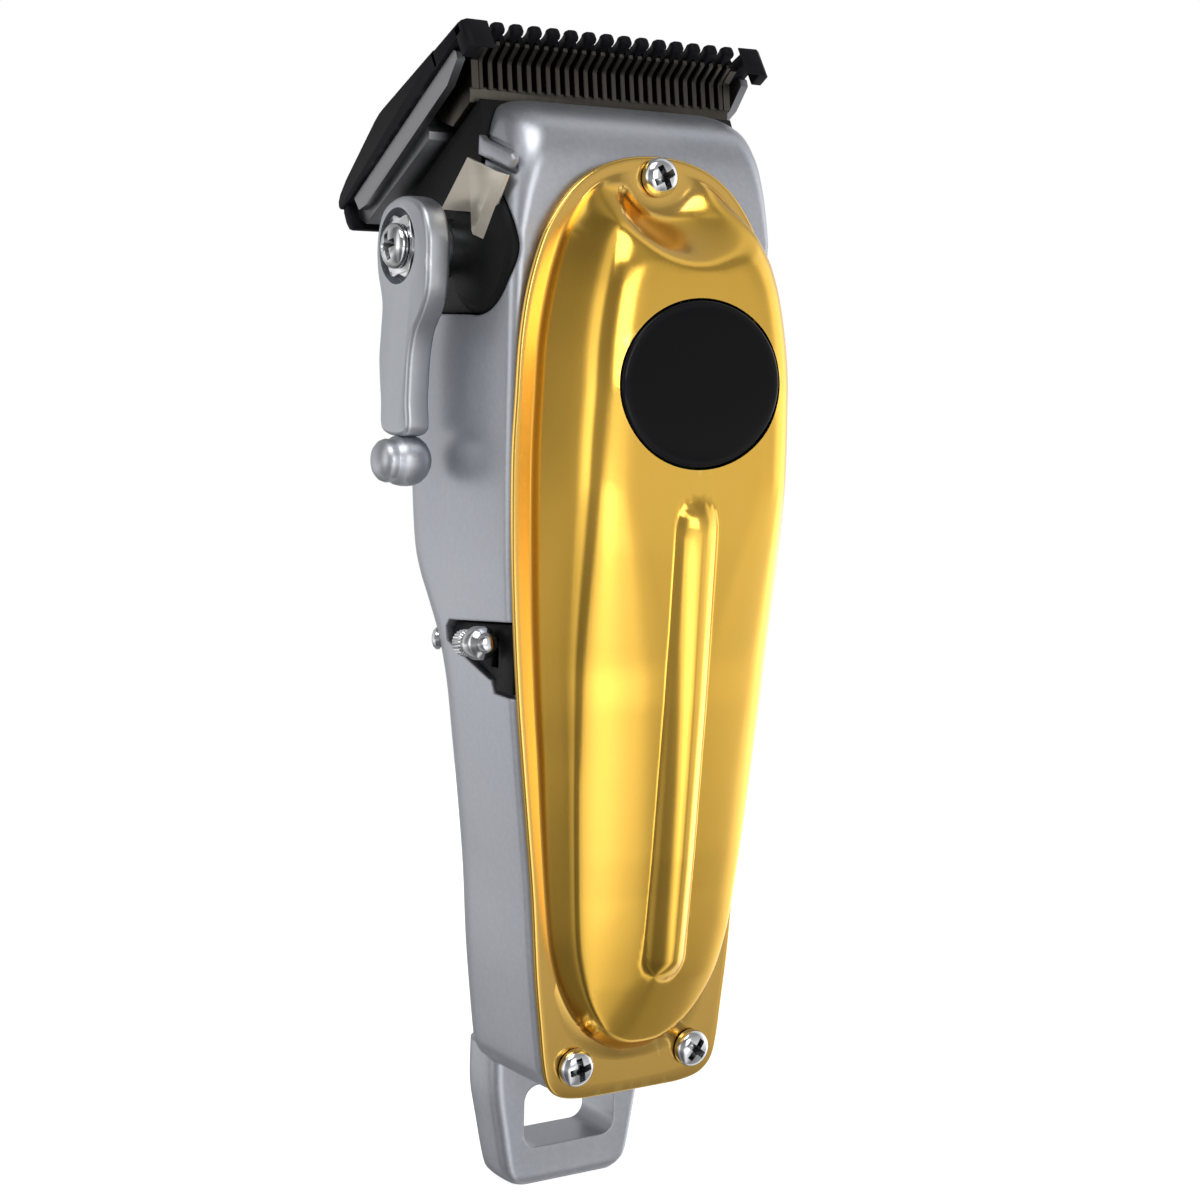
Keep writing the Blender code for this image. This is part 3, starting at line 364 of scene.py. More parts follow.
def carve(obj, *tools, degrees=CORNER_DEGREES):
    """Cut or join by (operation, bmesh) pairs."""
    helpers = []
    for operation, bm in tools:
        helpers.append(piece("helper", bm, None))
        boolean(obj, operation, helpers[-1])
    settle(obj, degrees)
    discard(helpers)
    return obj


def one_finish(obj, finish):
    obj.data.materials.clear()
    obj.data.materials.append(finish)


def eased(obj, width, segments=2, degrees=CORNER_DEGREES):
    """Break the sharp edges."""
    change = obj.modifiers.new("edges", "BEVEL")
    change.width = width * MM
    change.segments = segments
    change.limit_method = "ANGLE"
    change.angle_limit = math.radians(degrees)
    change.harden_normals = False
    return settle(obj, degrees)


def fit(obj, body, slot, *nodes):
    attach(obj, body)
    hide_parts(*nodes)
    return obj


def refined(node, name, body, slot, finish, edge, moved=None):
    """A copy of a CAD node with one skin, broken edges and smooth rounds; moved() shifts its points."""
    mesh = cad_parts[node].data.copy()
    bm = bmesh.new()
    bm.from_mesh(mesh)
    bmesh.ops.remove_doubles(bm, verts=bm.verts, dist=2e-6)
    if moved:
        for vert in bm.verts:
            vert.co = moved(vert.co)
    bmesh.ops.dissolve_limit(bm, angle_limit=math.radians(1.0), verts=bm.verts, edges=bm.edges)
    bpy.data.meshes.remove(mesh)
    obj = piece(name, bm, finish)
    if edge:
        eased(obj, edge)
    return fit(obj, body, slot, node)


# ---------------------------------------------------------------- node trees

class NodeTree:
    """Shader or geometry nodes; every node comes from node(), every link and value from feed()."""

    def __init__(self, tree):
        self.tree = tree

    def feed(self, socket, value):
        if isinstance(value, Level):
            value = value.socket
        if isinstance(value, bpy.types.NodeSocket):
            self.tree.links.new(value, socket)
        else:
            socket.default_value = value

    def node(self, kind, settings=None, values=None):
        made = self.tree.nodes.new(kind)
        for name, value in (settings or {}).items():
            if name == "stops":
                self.ramp(made.color_ramp, value)
            else:
                setattr(made, name, value)
        for key, value in (values or {}).items():
            self.feed(made.inputs[key], value)
        return made

    def blend(self, amount, first, second, mode="MIX"):
        made = self.node("ShaderNodeMix", {"data_type": "RGBA", "blend_type": mode}, {0: amount})
        for socket, colour in ((made.inputs[6], first), (made.inputs[7], second)):
            self.feed(socket, (*colour, 1.0) if isinstance(colour, tuple) else colour)
        return made.outputs[2]

    def ramp(self, band, stops):
        band.interpolation = "EASE"
        while len(band.elements) < len(stops):
            band.elements.new(0.5)
        for element, (at, colour) in zip(band.elements, stops):
            element.position = at
            element.color = (*colour, 1.0)


class Level:
    """A number that varies over a surface; arithmetic on it adds Math nodes to its tree."""

    def __init__(self, tree, socket):
        self.tree = tree
        self.socket = socket

    def sum_of(self, operation, *values):
        made = self.tree.node("ShaderNodeMath", {"operation": operation}, dict(enumerate(values)))
        return Level(self.tree, made.outputs[0])

    def __add__(self, other):
        return self.sum_of("ADD", self, other)

    def __radd__(self, other):
        return self.sum_of("ADD", other, self)

    def __sub__(self, other):
        return self.sum_of("SUBTRACT", self, other)

    def __rsub__(self, other):
        return self.sum_of("SUBTRACT", other, self)

    def __mul__(self, other):
        return self.sum_of("MULTIPLY", self, other)

    def __rmul__(self, other):
        return self.sum_of("MULTIPLY", other, self)

    def __pow__(self, other):
        return self.sum_of("POWER", self, other)

    def between(self, low, high):
        """0 on low's side, 1 on high's, soft between."""
        made = self.tree.node("ShaderNodeMapRange", {"interpolation_type": "SMOOTHSTEP"},
                              {"Value": self, "From Min": low, "From Max": high})
        return Level(self.tree, made.outputs["Result"])


# ---------------------------------------------------------------- repeated pieces

class Pattern(NodeTree):
    """A geometry tree with named inputs, used as a modifier and then turned into a plain mesh."""

    def __init__(self, name, inputs):
        super().__init__(bpy.data.node_groups.new(name, "GeometryNodeTree"))
        sockets = self.tree.interface
        sockets.new_socket(name="Geometry", in_out="OUTPUT", socket_type="NodeSocketGeometry")
        self.keys = {}
        for label, kind in inputs:
            self.keys[label] = sockets.new_socket(name=label, in_out="INPUT", socket_type=kind).identifier
        self.given = self.node("NodeGroupInput")
        self.end = self.node("NodeGroupOutput")

    def close(self, geometry):
        whole = self.node("GeometryNodeRealizeInstances", None, {"Geometry": geometry})
        dressed = self.node("GeometryNodeSetMaterial", None,
                            {"Geometry": whole.outputs[0], "Material": self.given.outputs["Finish"]})
        self.feed(self.end.inputs[0], dressed.outputs[0])

    def use(self, obj, degrees=CORNER_DEGREES, **values):
        change = obj.modifiers.new("pattern", "NODES")
        change.node_group = self.tree
        for label, value in values.items():
            change[self.keys[label]] = value
        return settle(obj, degrees)


def row_pattern():
    """Copies of the given mesh in a centred row along X."""
    made = Pattern("tooth row", [("Geometry", "NodeSocketGeometry"), ("Count", "NodeSocketInt"),
                                 ("Pitch", "NodeSocketFloat"), ("Finish", "NodeSocketMaterial")])
    given = made.given.outputs
    start = (Level(made, given["Count"]) - 1.0) * given["Pitch"] * -0.5
    first = made.node("ShaderNodeCombineXYZ", None, {"X": start})
    step = made.node("ShaderNodeCombineXYZ", None, {"X": given["Pitch"]})
    line = made.node("GeometryNodeMeshLine", {"mode": "OFFSET"},
                     {"Count": given["Count"], "Start Location": first.outputs[0], "Offset": step.outputs[0]})
    placed = made.node("GeometryNodeInstanceOnPoints", None,
                       {"Points": line.outputs[0], "Instance": given["Geometry"]})
    made.close(placed.outputs[0])
    return made


def seat_pattern():
    """One fastener on each point of the given mesh, standing along the point's own direction."""
    inputs = [("Geometry", "NodeSocketGeometry"), ("Fastener", "NodeSocketObject"),
              ("Finish", "NodeSocketMaterial")]
    made = Pattern("fasteners on seats", inputs)
    given = made.given.outputs
    shape = made.node("GeometryNodeObjectInfo", {"transform_space": "ORIGINAL"},
                      {"Object": given["Fastener"]})
    out = made.node("GeometryNodeInputNamedAttribute", {"data_type": "FLOAT_VECTOR"}, {"Name": "out"})
    turn = made.node("GeometryNodeInputNamedAttribute", {"data_type": "FLOAT"}, {"Name": "turn"})
    stand = made.node("FunctionNodeAlignRotationToVector", {"axis": "Z"},
                      {"Vector": out.outputs["Attribute"]})
    about = made.node("FunctionNodeAxisAngleToRotation", None,
                      {"Axis": (0.0, 0.0, 1.0), "Angle": turn.outputs["Attribute"]})
    both = made.node("FunctionNodeRotateRotation", {"rotation_space": "LOCAL"},
                     {"Rotation": stand.outputs[0], "Rotate By": about.outputs[0]})
    placed = made.node("GeometryNodeInstanceOnPoints", None,
                       {"Points": given["Geometry"], "Instance": shape.outputs["Geometry"],
                        "Rotation": both.outputs[0]})
    made.close(placed.outputs[0])
    return made


# ---------------------------------------------------------------- finishes

class Finish(NodeTree):
    """A procedural material on Object coordinates; fixed sizes sit on the shader's own sockets."""

    def __init__(self, name, colour, roughness, metallic=0.0, **fixed):
        self.made = bpy.data.materials.new(name)
        self.made.use_nodes = True
        super().__init__(self.made.node_tree)
        self.shader = self.tree.nodes["Principled BSDF"]
        self.place = self.node("ShaderNodeTexCoord").outputs["Object"]
        self.normal = None
        self.set("Base Color", (*colour, 1.0))
        self.set("Roughness", roughness)
        self.set("Metallic", metallic)
        for label, value in fixed.items():
            self.set(label.replace("_", " "), value)
        self.made.diffuse_color = (*colour, 1.0)

    def set(self, label, value):
        self.feed(self.shader.inputs[label], value)

    def stretched(self, scale, turn=(0.0, 0.0, 0.0)):
        return self.node("ShaderNodeMapping", None,
                         {"Vector": self.place, "Scale": scale, "Rotation": turn}).outputs[0]

    def grain(self, scale, detail=3.0, rough=0.55, place=None, distortion=0.0):
        made = self.node("ShaderNodeTexNoise", None,
                         {"Vector": place or self.place, "Scale": scale, "Detail": detail, "Roughness": rough,
                          "Distortion": distortion})
        return Level(self, made.outputs[0])

    def cells(self, scale, feature="F1", place=None):
        made = self.node("ShaderNodeTexVoronoi", {"feature": feature},
                         {"Vector": place or self.place, "Scale": scale})
        return Level(self, made.outputs["Distance"])

    def axis(self, letter):
        made = self.node("ShaderNodeSeparateXYZ", None, {"Vector": self.place})
        return Level(self, made.outputs[letter])

    def rims(self, low=0.515, high=0.60):
        """0 at the low Pointiness, 1 at the high one: 0.5 is flat, hollows lie under it, edges over it."""
        made = self.node("ShaderNodeNewGeometry")
        return Level(self, made.outputs["Pointiness"]).between(low, high)

    def relief(self, height, depth_mm, strength=1.0):
        values = {"Height": height, "Distance": depth_mm * MM, "Strength": strength}
        if self.normal:
            values["Normal"] = self.normal
        self.normal = self.node("ShaderNodeBump", None, values).outputs[0]
        self.set("Normal", self.normal)

    def soft_edges(self, radius_mm):
        self.normal = self.node("ShaderNodeBevel", {"samples": 4}, {"Radius": radius_mm * MM}).outputs[0]
        self.set("Normal", self.normal)


def blasted_silver():
    """Satin lacquer on a die casting: faint mottling, fine blasting, and a painted highlight on the rims."""
    f = Finish("blasted silver casting", (0.47, 0.49, 0.53), 0.34, 0.88)
    clouds = f.grain(75.0, 4.0)
    fine = f.grain(1500.0, 2.0)
    tone = f.blend(clouds, (0.42, 0.44, 0.485), (0.53, 0.545, 0.58))
    tone = f.blend(fine.between(0.35, 0.7) * 0.22, tone, (0.62, 0.635, 0.67))
    # Rims are painted lighter by Pointiness: a painted edge highlight.
    f.set("Base Color", f.blend(f.rims() * 0.15, tone, (0.72, 0.73, 0.76)))
    f.set("Roughness", 0.27 + clouds * 0.10 + fine * 0.08)
    f.soft_edges(0.45)
    f.relief(fine, 0.012, 0.5)
    f.relief(f.grain(230.0, 3.0), 0.02, 0.35)
    return f.made


def gold_plate():
    """Polished anodised pressing: slow orange-to-yellow drift, polishing haze, pin marks."""
    f = Finish("polished gold pressing", (0.92, 0.54, 0.085), 0.17, 1.0)
    drift = f.grain(38.0, 3.0)
    haze = f.grain(260.0, 4.0, 0.6, f.stretched((1.0, 1.0, 0.22)))
    pins = f.cells(900.0)
    tone = f.blend(drift, (0.89, 0.515, 0.075), (0.94, 0.585, 0.105))
    starts, ends = LOOP_MID_H - FLANGE_TINT_TO, LOOP_MID_H - FLANGE_TINT_FROM
    flange = (f.axis("Y") * 1000.0).between(starts, ends)
    tone = f.blend(flange, tone, (0.82, 0.51, 0.125))
    # Edges are painted a paler yellow by Pointiness: a painted highlight.
    f.set("Base Color", f.blend(f.rims(0.52, 0.62) * 0.5, tone, (0.98, 0.72, 0.20)))
    f.set("Roughness", 0.135 + haze * 0.10 + (1 - pins.between(0.05, 0.22)) * 0.05)
    f.relief(f.grain(95.0, 3.0), 0.028, 0.30)
    f.relief(f.grain(1900.0, 2.0), 0.004, 0.4)
    return f.made


def moulded_black(name, tone=0.005):
    f = Finish(name, (tone, tone, tone), 0.42, 0.0, Specular_IOR_Level=0.13)
    spark = f.grain(1700.0, 3.0)
    dust = f.grain(140.0, 4.0)
    deep, pale = (tone * 0.8, tone * 0.8, tone * 0.85), (tone * 1.7, tone * 1.7, tone * 1.8)
    f.set("Base Color", f.blend(dust, deep, pale))
    f.set("Roughness", 0.34 + spark * 0.16 + dust * 0.06)
    f.soft_edges(0.25)
    f.relief(spark, 0.014, 0.7)
    return f.made


def black_steel():
    """Blackened blade steel, ground across; corners lighter in patches, part wear, part painted highlight."""
    f = Finish("blackened blade steel", (0.006, 0.006, 0.007), 0.42, 0.0, Specular_IOR_Level=0.05)
    ground = f.grain(420.0, 3.0, 0.6, f.stretched((0.06, 1.0, 1.0)))
    wear_and_sheen = f.grain(350.0, 3.0)
    tone = f.blend(ground, (0.003, 0.003, 0.0035), (0.013, 0.013, 0.015))
    # Corners are painted lighter in patches: partly wear, partly a painted edge highlight.
    f.set("Base Color", f.blend(f.rims(0.53, 0.66) * wear_and_sheen.between(0.4, 0.75) * 0.2, tone, (0.10, 0.10, 0.11)))
    f.set("Roughness", 0.36 + ground * 0.16)
    f.relief(ground, 0.010, 0.6)
    return f.made


def ground_steel(name, low, high, roughness=0.28, rim=0.4):
    """Bare steel with fine grinding lines along Z."""
    f = Finish(name, high, roughness, 1.0)
    lines = f.grain(900.0, 3.0, 0.6, f.stretched((1.0, 1.0, 0.05)))
    stain = f.grain(180.0, 4.0)
    tone = f.blend(lines * 0.6 + stain * 0.4, low, high)
    # The rim amount paints the edges lighter by Pointiness: a painted highlight.
    bright = tuple(min(c * 2.2, 0.9) for c in high)
    f.set("Base Color", f.blend(f.rims(0.52, 0.62) * rim, tone, bright))
    f.set("Roughness", roughness - 0.05 + lines * 0.14 + stain * 0.04)
    f.relief(lines, 0.006, 0.6)
    return f.made


def satin_lever():
    f = Finish("satin lever casting", (0.50, 0.52, 0.555), 0.36, 0.9)
    clouds = f.grain(120.0, 4.0)
    fine = f.grain(1300.0, 3.0)
    tone = f.blend(clouds, (0.45, 0.468, 0.50), (0.57, 0.59, 0.625))
    # Edges are painted much lighter by Pointiness: a painted highlight.
    f.set("Base Color", f.blend(f.rims(0.515, 0.60) * 0.6, tone, (0.78, 0.80, 0.83)))
    f.set("Roughness", 0.27 + clouds * 0.08 + fine * 0.12)
    f.relief(fine, 0.014, 0.6)
    return f.made


def chrome():
    f = Finish("chromed screw", (0.78, 0.79, 0.80), 0.13, 1.0)
    rub = f.grain(800.0, 3.0)
    tone = f.blend(f.grain(300.0, 3.0), (0.66, 0.67, 0.69), (0.84, 0.85, 0.86))
    # Hollows such as the cross recesses and knurls are painted near-black and rougher: painted shade.
    deep = 1 - f.rims(0.40, 0.49)
    f.set("Base Color", f.blend(deep, tone, (0.035, 0.035, 0.04)))
    f.set("Roughness", 0.08 + rub * 0.14 + deep * 0.3)
    f.relief(rub, 0.004, 0.5)
    return f.made


def display_black():
    """Glossy tinted window over a dark panel, with faint wiping marks."""
    f = Finish("tinted display window", (0.003, 0.003, 0.0035), 0.07, 0.0, Specular_IOR_Level=0.12)
    wipe = f.grain(160.0, 4.0, 0.6, f.stretched((1.0, 1.0, 0.3), (0.0, 0.5, 0.0)))
    edge = ((f.axis("X") * (1000.0 / DISPLAY_RX)) ** 2.0
            + ((f.axis("Z") - DISPLAY_Z * MM) * (1000.0 / DISPLAY_RZ)) ** 2.0).between(0.80, 0.94)
    f.set("Base Color", f.blend(edge, (0.0030, 0.0030, 0.0036), (0.0075, 0.0075, 0.0085)))
    f.set("Roughness", 0.045 + wipe * 0.06)
    return f.made


def strip_steel():
    f = Finish("spring strip", (0.60, 0.54, 0.44), 0.33, 0.75)
    rolled = f.grain(700.0, 3.0, 0.6, f.stretched((1.0, 0.08, 1.0)))
    tone = f.blend(rolled, (0.50, 0.44, 0.35), (0.68, 0.62, 0.51))
    # Edges are painted lighter by Pointiness: a painted highlight.
    f.set("Base Color", f.blend(f.rims(0.52, 0.62) * 0.6, tone, (0.85, 0.82, 0.74)))
    f.set("Roughness", 0.26 + rolled * 0.15)
    f.relief(rolled, 0.006, 0.6)
    return f.made


def circuit_board():
    """Solder mask over copper runs, with bare pads."""
    f = Finish("green circuit board", (0.02, 0.16, 0.06), 0.4, 0.0)
    runs = (f.cells(420.0, "DISTANCE_TO_EDGE")).between(0.10, 0.14)
    pads = 1 - f.cells(650.0).between(0.16, 0.22)
    tone = f.blend(runs, (0.05, 0.24, 0.09), (0.014, 0.12, 0.045))
    f.set("Base Color", f.blend(pads * 0.8, tone, (0.70, 0.66, 0.52)))
    f.set("Roughness", 0.42 - pads * 0.16 + f.grain(900.0) * 0.06)
    f.set("Metallic", pads * 0.85)
    f.relief(1 - runs, 0.03, 0.6)
    return f.made


def cell_wrap():
    """Shrink sleeve with bare steel at both ends."""
    f = Finish("battery sleeve", (0.05, 0.16, 0.40), 0.4)
    height = f.axis("Z") * 1000.0
    bare = height.between(73.6, 74.0) + (1 - height.between(25.7, 26.0))
    crease = f.grain(300.0, 4.0, 0.6, f.stretched((1.0, 1.0, 0.15)))
    tone = f.blend(crease, (0.035, 0.12, 0.33), (0.07, 0.20, 0.46))
    f.set("Base Color", f.blend(bare, tone, (0.56, 0.57, 0.58)))
    f.set("Metallic", bare)
    f.set("Roughness", 0.30 + crease * 0.18)
    f.relief(crease, 0.03, 0.5)
    return f.made


def insulation(name, low, high):
    f = Finish(name, high, 0.5)
    print_dust = f.grain(900.0, 3.0)
    f.set("Base Color", f.blend(print_dust, low, high))
    f.set("Roughness", 0.38 + print_dust * 0.2)
    f.relief(print_dust, 0.01, 0.5)
    return f.made


# ---------------------------------------------------------------- housing

def section(half, front, back, front_r, back_r, steps=12, bulge=0.45):
    """Rounded rectangle in (x, h) with slightly swollen sides and points along its flats too."""
    corners = [(half - front_r, front - front_r, front_r, 90),
               (-(half - front_r), front - front_r, front_r, 180),
               (-(half - back_r), back + back_r, back_r, 270), (half - back_r, back + back_r, back_r, 360)]
    arcs = []
    for x, h, r, end in corners:
        turns = [math.radians(end - 90 + 90 * k / steps) for k in range(steps + 1)]
        arcs.append([(x + r * math.cos(a), h + r * math.sin(a)) for a in turns])
    ring = []
    for arc, following in zip(arcs, arcs[1:] + arcs[:1]):
        ring += arc
        a, b = arc[-1], following[0]
        ring += [(a[0] + (b[0] - a[0]) * k / 8, a[1] + (b[1] - a[1]) * k / 8) for k in range(1, 8)]
    middle, reach = 0.5 * (front + back), 0.5 * (front - back)
    return [(x * (1.0 - bulge / half * ((h - middle) / reach) ** 2), h) for x, h in ring]


def lofted(stations, front_r, inset=0.0, front=None, low=None, high=None):
    rows = []
    for z, half, front_h, back_h, back_r in stations:
        if (low is not None and z < low) or (high is not None and z > high):
            continue
        ahead = front_h - inset if front is None else front
        corner = front_r if front_r else reading(FRONT_CORNERS, z)[0]
        ring = section(half - inset, ahead, back_h + inset, corner, max(back_r - inset, 1.0))
        rows.append([spot(x, h, z) for x, h in ring])
    return skin(rows)


def rounded_box(half_x, half_z, radius, centre_z, steps=8):
    outline = []
    for sx, sz, start in ((1, 1, 0), (-1, 1, 90), (-1, -1, 180), (1, -1, 270)):
        for k in range(steps + 1):
            a = math.radians(start + 90 * k / steps)
            outline.append((sx * (half_x - radius) + radius * math.cos(a),
                            centre_z + sz * (half_z - radius) + radius * math.sin(a)))
    return outline


def casting(finish):
    stations = flowing(BODY_STATIONS, 4)
    obj = piece("casting", lofted(stations, None), finish)
    tail = lofted(flowing(TAIL_STATIONS, 4), 1.5)
    inner = lofted(stations, 1.0, CASTING_WALL, -3.4, 22.0, 139.5)
    mouth = [(x * 0.8, 79.0 + (z - 79.0) * 0.84) for x, z in ring_of(mirrored(CROWN_HALF), 96)]
    rear = [(-10.2, 150.0), (-10.2, 118.05), (-60.0, 118.05), (-60.0, 150.0)]
    notch = turned([(NOTCH_R, -32.0), (NOTCH_R, -15.5)], NOTCH, (1, 0, 0), 72)
    turned([(NOTCH_R, 15.5), (NOTCH_R, 32.0)], NOTCH, (1, 0, 0), 72, notch)
    holes = bmesh.new()
    for x, _, z in COVER_SEATS:
        turned([(SCREW_HOLE_R, -7.0), (SCREW_HOLE_R, 2.0)], (x, 0.0, z), (0, 1, 0), 20, holes)
    socket = prism([(-9.2, 10.0), (-5.4, 10.0), (-5.4, 30.0), (-9.2, 30.0)], -4.8, 4.8)
    stem_way = prism([(-7.4, 73.3), (-5.1, 73.3), (-5.1, 77.6), (-7.4, 77.6)], -30.0, -12.0)
    loop = upright(rounded_box(*LOOP_HOLE), -30.0, -10.0)
    cuts = [stem_way, inner, upright(mouth, -5.0, 2.0), prism(rear, -30.0, 30.0), notch, loop,
            prism(SWITCH_POCKET, -30.0, -17.4), prism(TAB_POCKET, -30.0, -18.6), holes, socket]
    carve(obj, ("UNION", tail), *[("DIFFERENCE", cut) for cut in cuts], degrees=CASTING_CORNERS)
    return fit(obj, "housing", "silver_casting", "body_shell")


def crown_height(x, z, inset):
    """Steep flank with a soft root, a dome above it, scoop at the top screw, pressed bar."""
    lift = inset / reading(FLANK_RUN, z)[0]
    round_off = reading(SHOULDER, z)[0]
    steep = 0.5 * (lift + 1.0 - math.sqrt((lift - 1.0) ** 2 + round_off)) + 0.25 * round_off
    steep *= smooth(0.35 + inset / 0.7)
    reach, share = reading(DOME, z)
    dome = 1.0 - (1.0 - min(inset / reach, 1.0)) ** 2.0
    scoop = smooth((math.hypot(x * 0.9, z - SCREW_TOP_Z) - 3.4) / 8.6)
    nearest = min(max(z, BAR_LOW_Z), BAR_HIGH_Z)
    away = math.hypot(x, z - nearest)
    bar = 0.2 * smooth((BAR_HALF_WIDTH - away) / 0.9)
    bar += reading(BAR_BULGE, z)[0] * (1.0 - min(away / BAR_HALF_WIDTH, 1.0) ** 1.6)
    return (reading(CROWN_HEIGHTS, z)[0] * ((1.0 - share) * steep + share * dome)) * scoop + bar


def cover(finish):
    flange, crown = (mirrored(flowing(half, 12)[::2]) for half in (FLANGE_HALF, CROWN_HALF))
    middle_z = 0.5 * (CROWN_HALF[0][1] + CROWN_HALF[-1][1])
    half_length = 0.5 * (CROWN_HALF[-1][1] - CROWN_HALF[0][1])
    rows = [[(x, -0.45, z) for x, z in flange]]
    for inset, drop in ((0.08, -0.2), (0.22, -0.06), (0.42, 0.0)):
        rows.append([(x, drop, z) for x, z in inset_ring(flange, inset)])
    rim = inset_ring(flange, 0.42)
    for share in (0.25, 0.5, 0.75, 1.0):
        rows.append([(a[0] + (b[0] - a[0]) * share, 0.0, a[1] + (b[1] - a[1]) * share)
                     for a, b in zip(rim, crown)])
    insets = [0.06, 0.13, 0.22, 0.34, 0.48, 0.65, 0.85, 1.08, 1.34, 1.63, 1.95, 2.3, 2.7, 3.15, 3.65, 4.2,
              4.8, 5.5, 6.2, 6.9, 7.6, 8.3, 9.0, 9.7, 10.4, 11.1, 11.6, 12.0]
    insets += [12.2 + 0.2 * k for k in range(28)] + [CROWN_HALF_WIDTH]
    for inset in insets:
        shrink_x = 1.0 - inset / CROWN_HALF_WIDTH
        shrink_z = 1.0 - inset / half_length
        row = []
        for x, z in crown:
            px, pz = x * shrink_x, middle_z + (z - middle_z) * shrink_z
            row.append((px, crown_height(px, pz, inset), pz))
        rows.append(row)
    bm = skin([[spot(*p) for p in row] for row in rows], caps=False)
    bmesh.ops.remove_doubles(bm, verts=bm.verts, dist=1e-6)
    bmesh.ops.recalc_face_normals(bm, faces=bm.faces)
    if sum(f.normal.y * f.calc_area() for f in bm.faces) > 0.0:
        bmesh.ops.reverse_faces(bm, faces=bm.faces)
    obj = placed("cover", poured("cover", bm, finish))
    wall = obj.modifiers.new("wall", "SOLIDIFY")
    wall.thickness = COVER_WALL * MM
    wall.offset = -1.0
    wall.use_even_offset = False
    settle(obj, COVER_CORNERS)
    holes = bmesh.new()
    for x, _, z in COVER_SEATS:
        turned([(SCREW_HOLE_R, -4.0), (SCREW_HOLE_R, 4.0)], (x, 0.0, z), (0, 1, 0), 24, holes)
    oval = [(WINDOW_HOLE_RX * cos, DISPLAY_Z + WINDOW_HOLE_RZ * sin) for cos, sin in around(96)]
    carve(obj, ("DIFFERENCE", holes), ("DIFFERENCE", upright(oval, 4.0, 16.0)), degrees=COVER_CORNERS)
    return fit(obj, "housing", "gold_cover", "top_cover")


def display_glass(finish):
    """Slightly domed window with a rolled edge."""
    rows = []
    for share, h in ((0.985, 9.4), (1.0, 9.5), (1.0, 11.1), (0.992, 11.26), (0.975, 11.36), (0.95, 11.41),
                     (0.80, 11.5), (0.60, 11.56), (0.40, 11.6), (0.20, 11.62), (0.02, 11.62)):
        rows.append([spot(DISPLAY_RX * share * cos, h, DISPLAY_Z + DISPLAY_RZ * share * sin)
                     for cos, sin in around(96)])
    glass = piece("display_glass", skin(rows), finish, ROUND_CORNERS)
    return fit(glass, "housing", "display_gloss", "display_lens")


def fastener(name, head_r, shank_r, length):
    """Pan-head screw standing on its seat at the origin, with a cross recess; made once and copied."""
    dome = [(shank_r * 0.4, -length), (shank_r, -length + 1.0), (shank_r, 0.0), (head_r - 0.1, 0.0),
            (head_r, 0.1)]
    for k in range(7):
        a = math.pi / 2 * k / 7
        dome.append((head_r * (0.25 + 0.75 * math.cos(a)) if k else head_r, 0.55 + 1.15 * math.sin(a)))
    dome.append((head_r * 0.08, 1.74))
    rows = [[Vector((r * cos, r * sin, reach)) * MM for cos, sin in around(40)] for r, reach in dome]
    obj = piece(name, skin(rows), None)
    wide, thick = head_r * 0.62, head_r * 0.17
    slot = [(0.25, wide * 0.45, thick * 0.5), (1.1, wide * 0.95, thick * 0.95),
            (2.4, wide * 1.15, thick * 1.15)]
    cross = []
    for turn in (0.0, math.pi / 2):
        spin = Matrix.Rotation(turn, 3, "Z")
        rings = [[spin @ Vector((x * MM, y * MM, z * MM)) for x, y in ((w, t), (-w, t), (-w, -t), (w, -t))]
                 for z, w, t in slot]
        cross.append(("DIFFERENCE", skin(rings)))
    carve(obj, *cross, degrees=FINE_CORNERS)
    return obj


def on_seats(name, seats, shape, finish, pattern, degrees=FINE_CORNERS):
    """Screws on seats given as ((x, h, z), (x, h, z) direction, turn)."""
    mesh = bpy.data.meshes.new(name)
    mesh.from_pydata([spot(*place) for place, _, _ in seats], [], [])
    mesh.attributes.new("out", "FLOAT_VECTOR", "POINT")
    mesh.attributes.new("turn", "FLOAT", "POINT")
    for i, (_, way, angle) in enumerate(seats):
        mesh.attributes["out"].data[i].vector = (way[0], -way[1], way[2])
        mesh.attributes["turn"].data[i].value = angle
    obj = placed(name, mesh)
    pattern.use(obj, degrees, Fastener=shape, Finish=finish)
    if not obj.data.materials:
        obj.data.materials.append(finish)
    return obj


def slot_tab(finish):
    """Plate let into the casting above the spring leaf; the gap round it reads as a dark line."""
    plate = piece("slot_tab", prism(inset_ring(TAB_POCKET, 0.5), -20.0, -18.9), finish)
    eased(plate, 0.2)
    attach(plate, "housing")


def spring_strip(finish):
    """Folded strip: a broad leaf, a hook over the blade carrier and a leg that dips behind the arm."""
    leaf = [(-11.0, 137.6), (-3.5, 135.5), (-9.3, 128.0), (-9.7, 128.6), (-9.9, 130.8), (-17.6, 131.3)]
    fold = [(-3.5, 135.5), (-2.3, 135.1), (-7.9, 127.4), (-9.3, 128.0)]
    bm = prism(leaf, *STRIP_SIDES)
    skin([[spot(x + (0.75 if i in (1, 2) else 0.0), h, z) for i, (h, z) in enumerate(fold)]
          for x in STRIP_SIDES], bm)
    obj = piece("clip_leaf", bm, finish)
    eased(obj, 0.08)
    return fit(obj, "housing", "spring_clip", "spring_clip")


# These four, and the cheeks that build() adds, change copies of CAD solids. Such changes belong in
# the CAD, which has yet to follow them.

def boss_drawn_in(place):
    """The round boss beside the lever, kept just inside the casting's notch."""
    middle, fresh = spot(*BOSS), spot(*NOTCH)
    across = Vector((0.0, place.y - middle.y, place.z - middle.z))
    if place.x > -15.5 * MM or abs(across.length - BOSS_R * MM) > 0.06 * MM:
        return place
    across *= (NOTCH_R - 0.25) / BOSS_R
    return Vector((place.x, fresh.y + across.y, fresh.z + across.z))


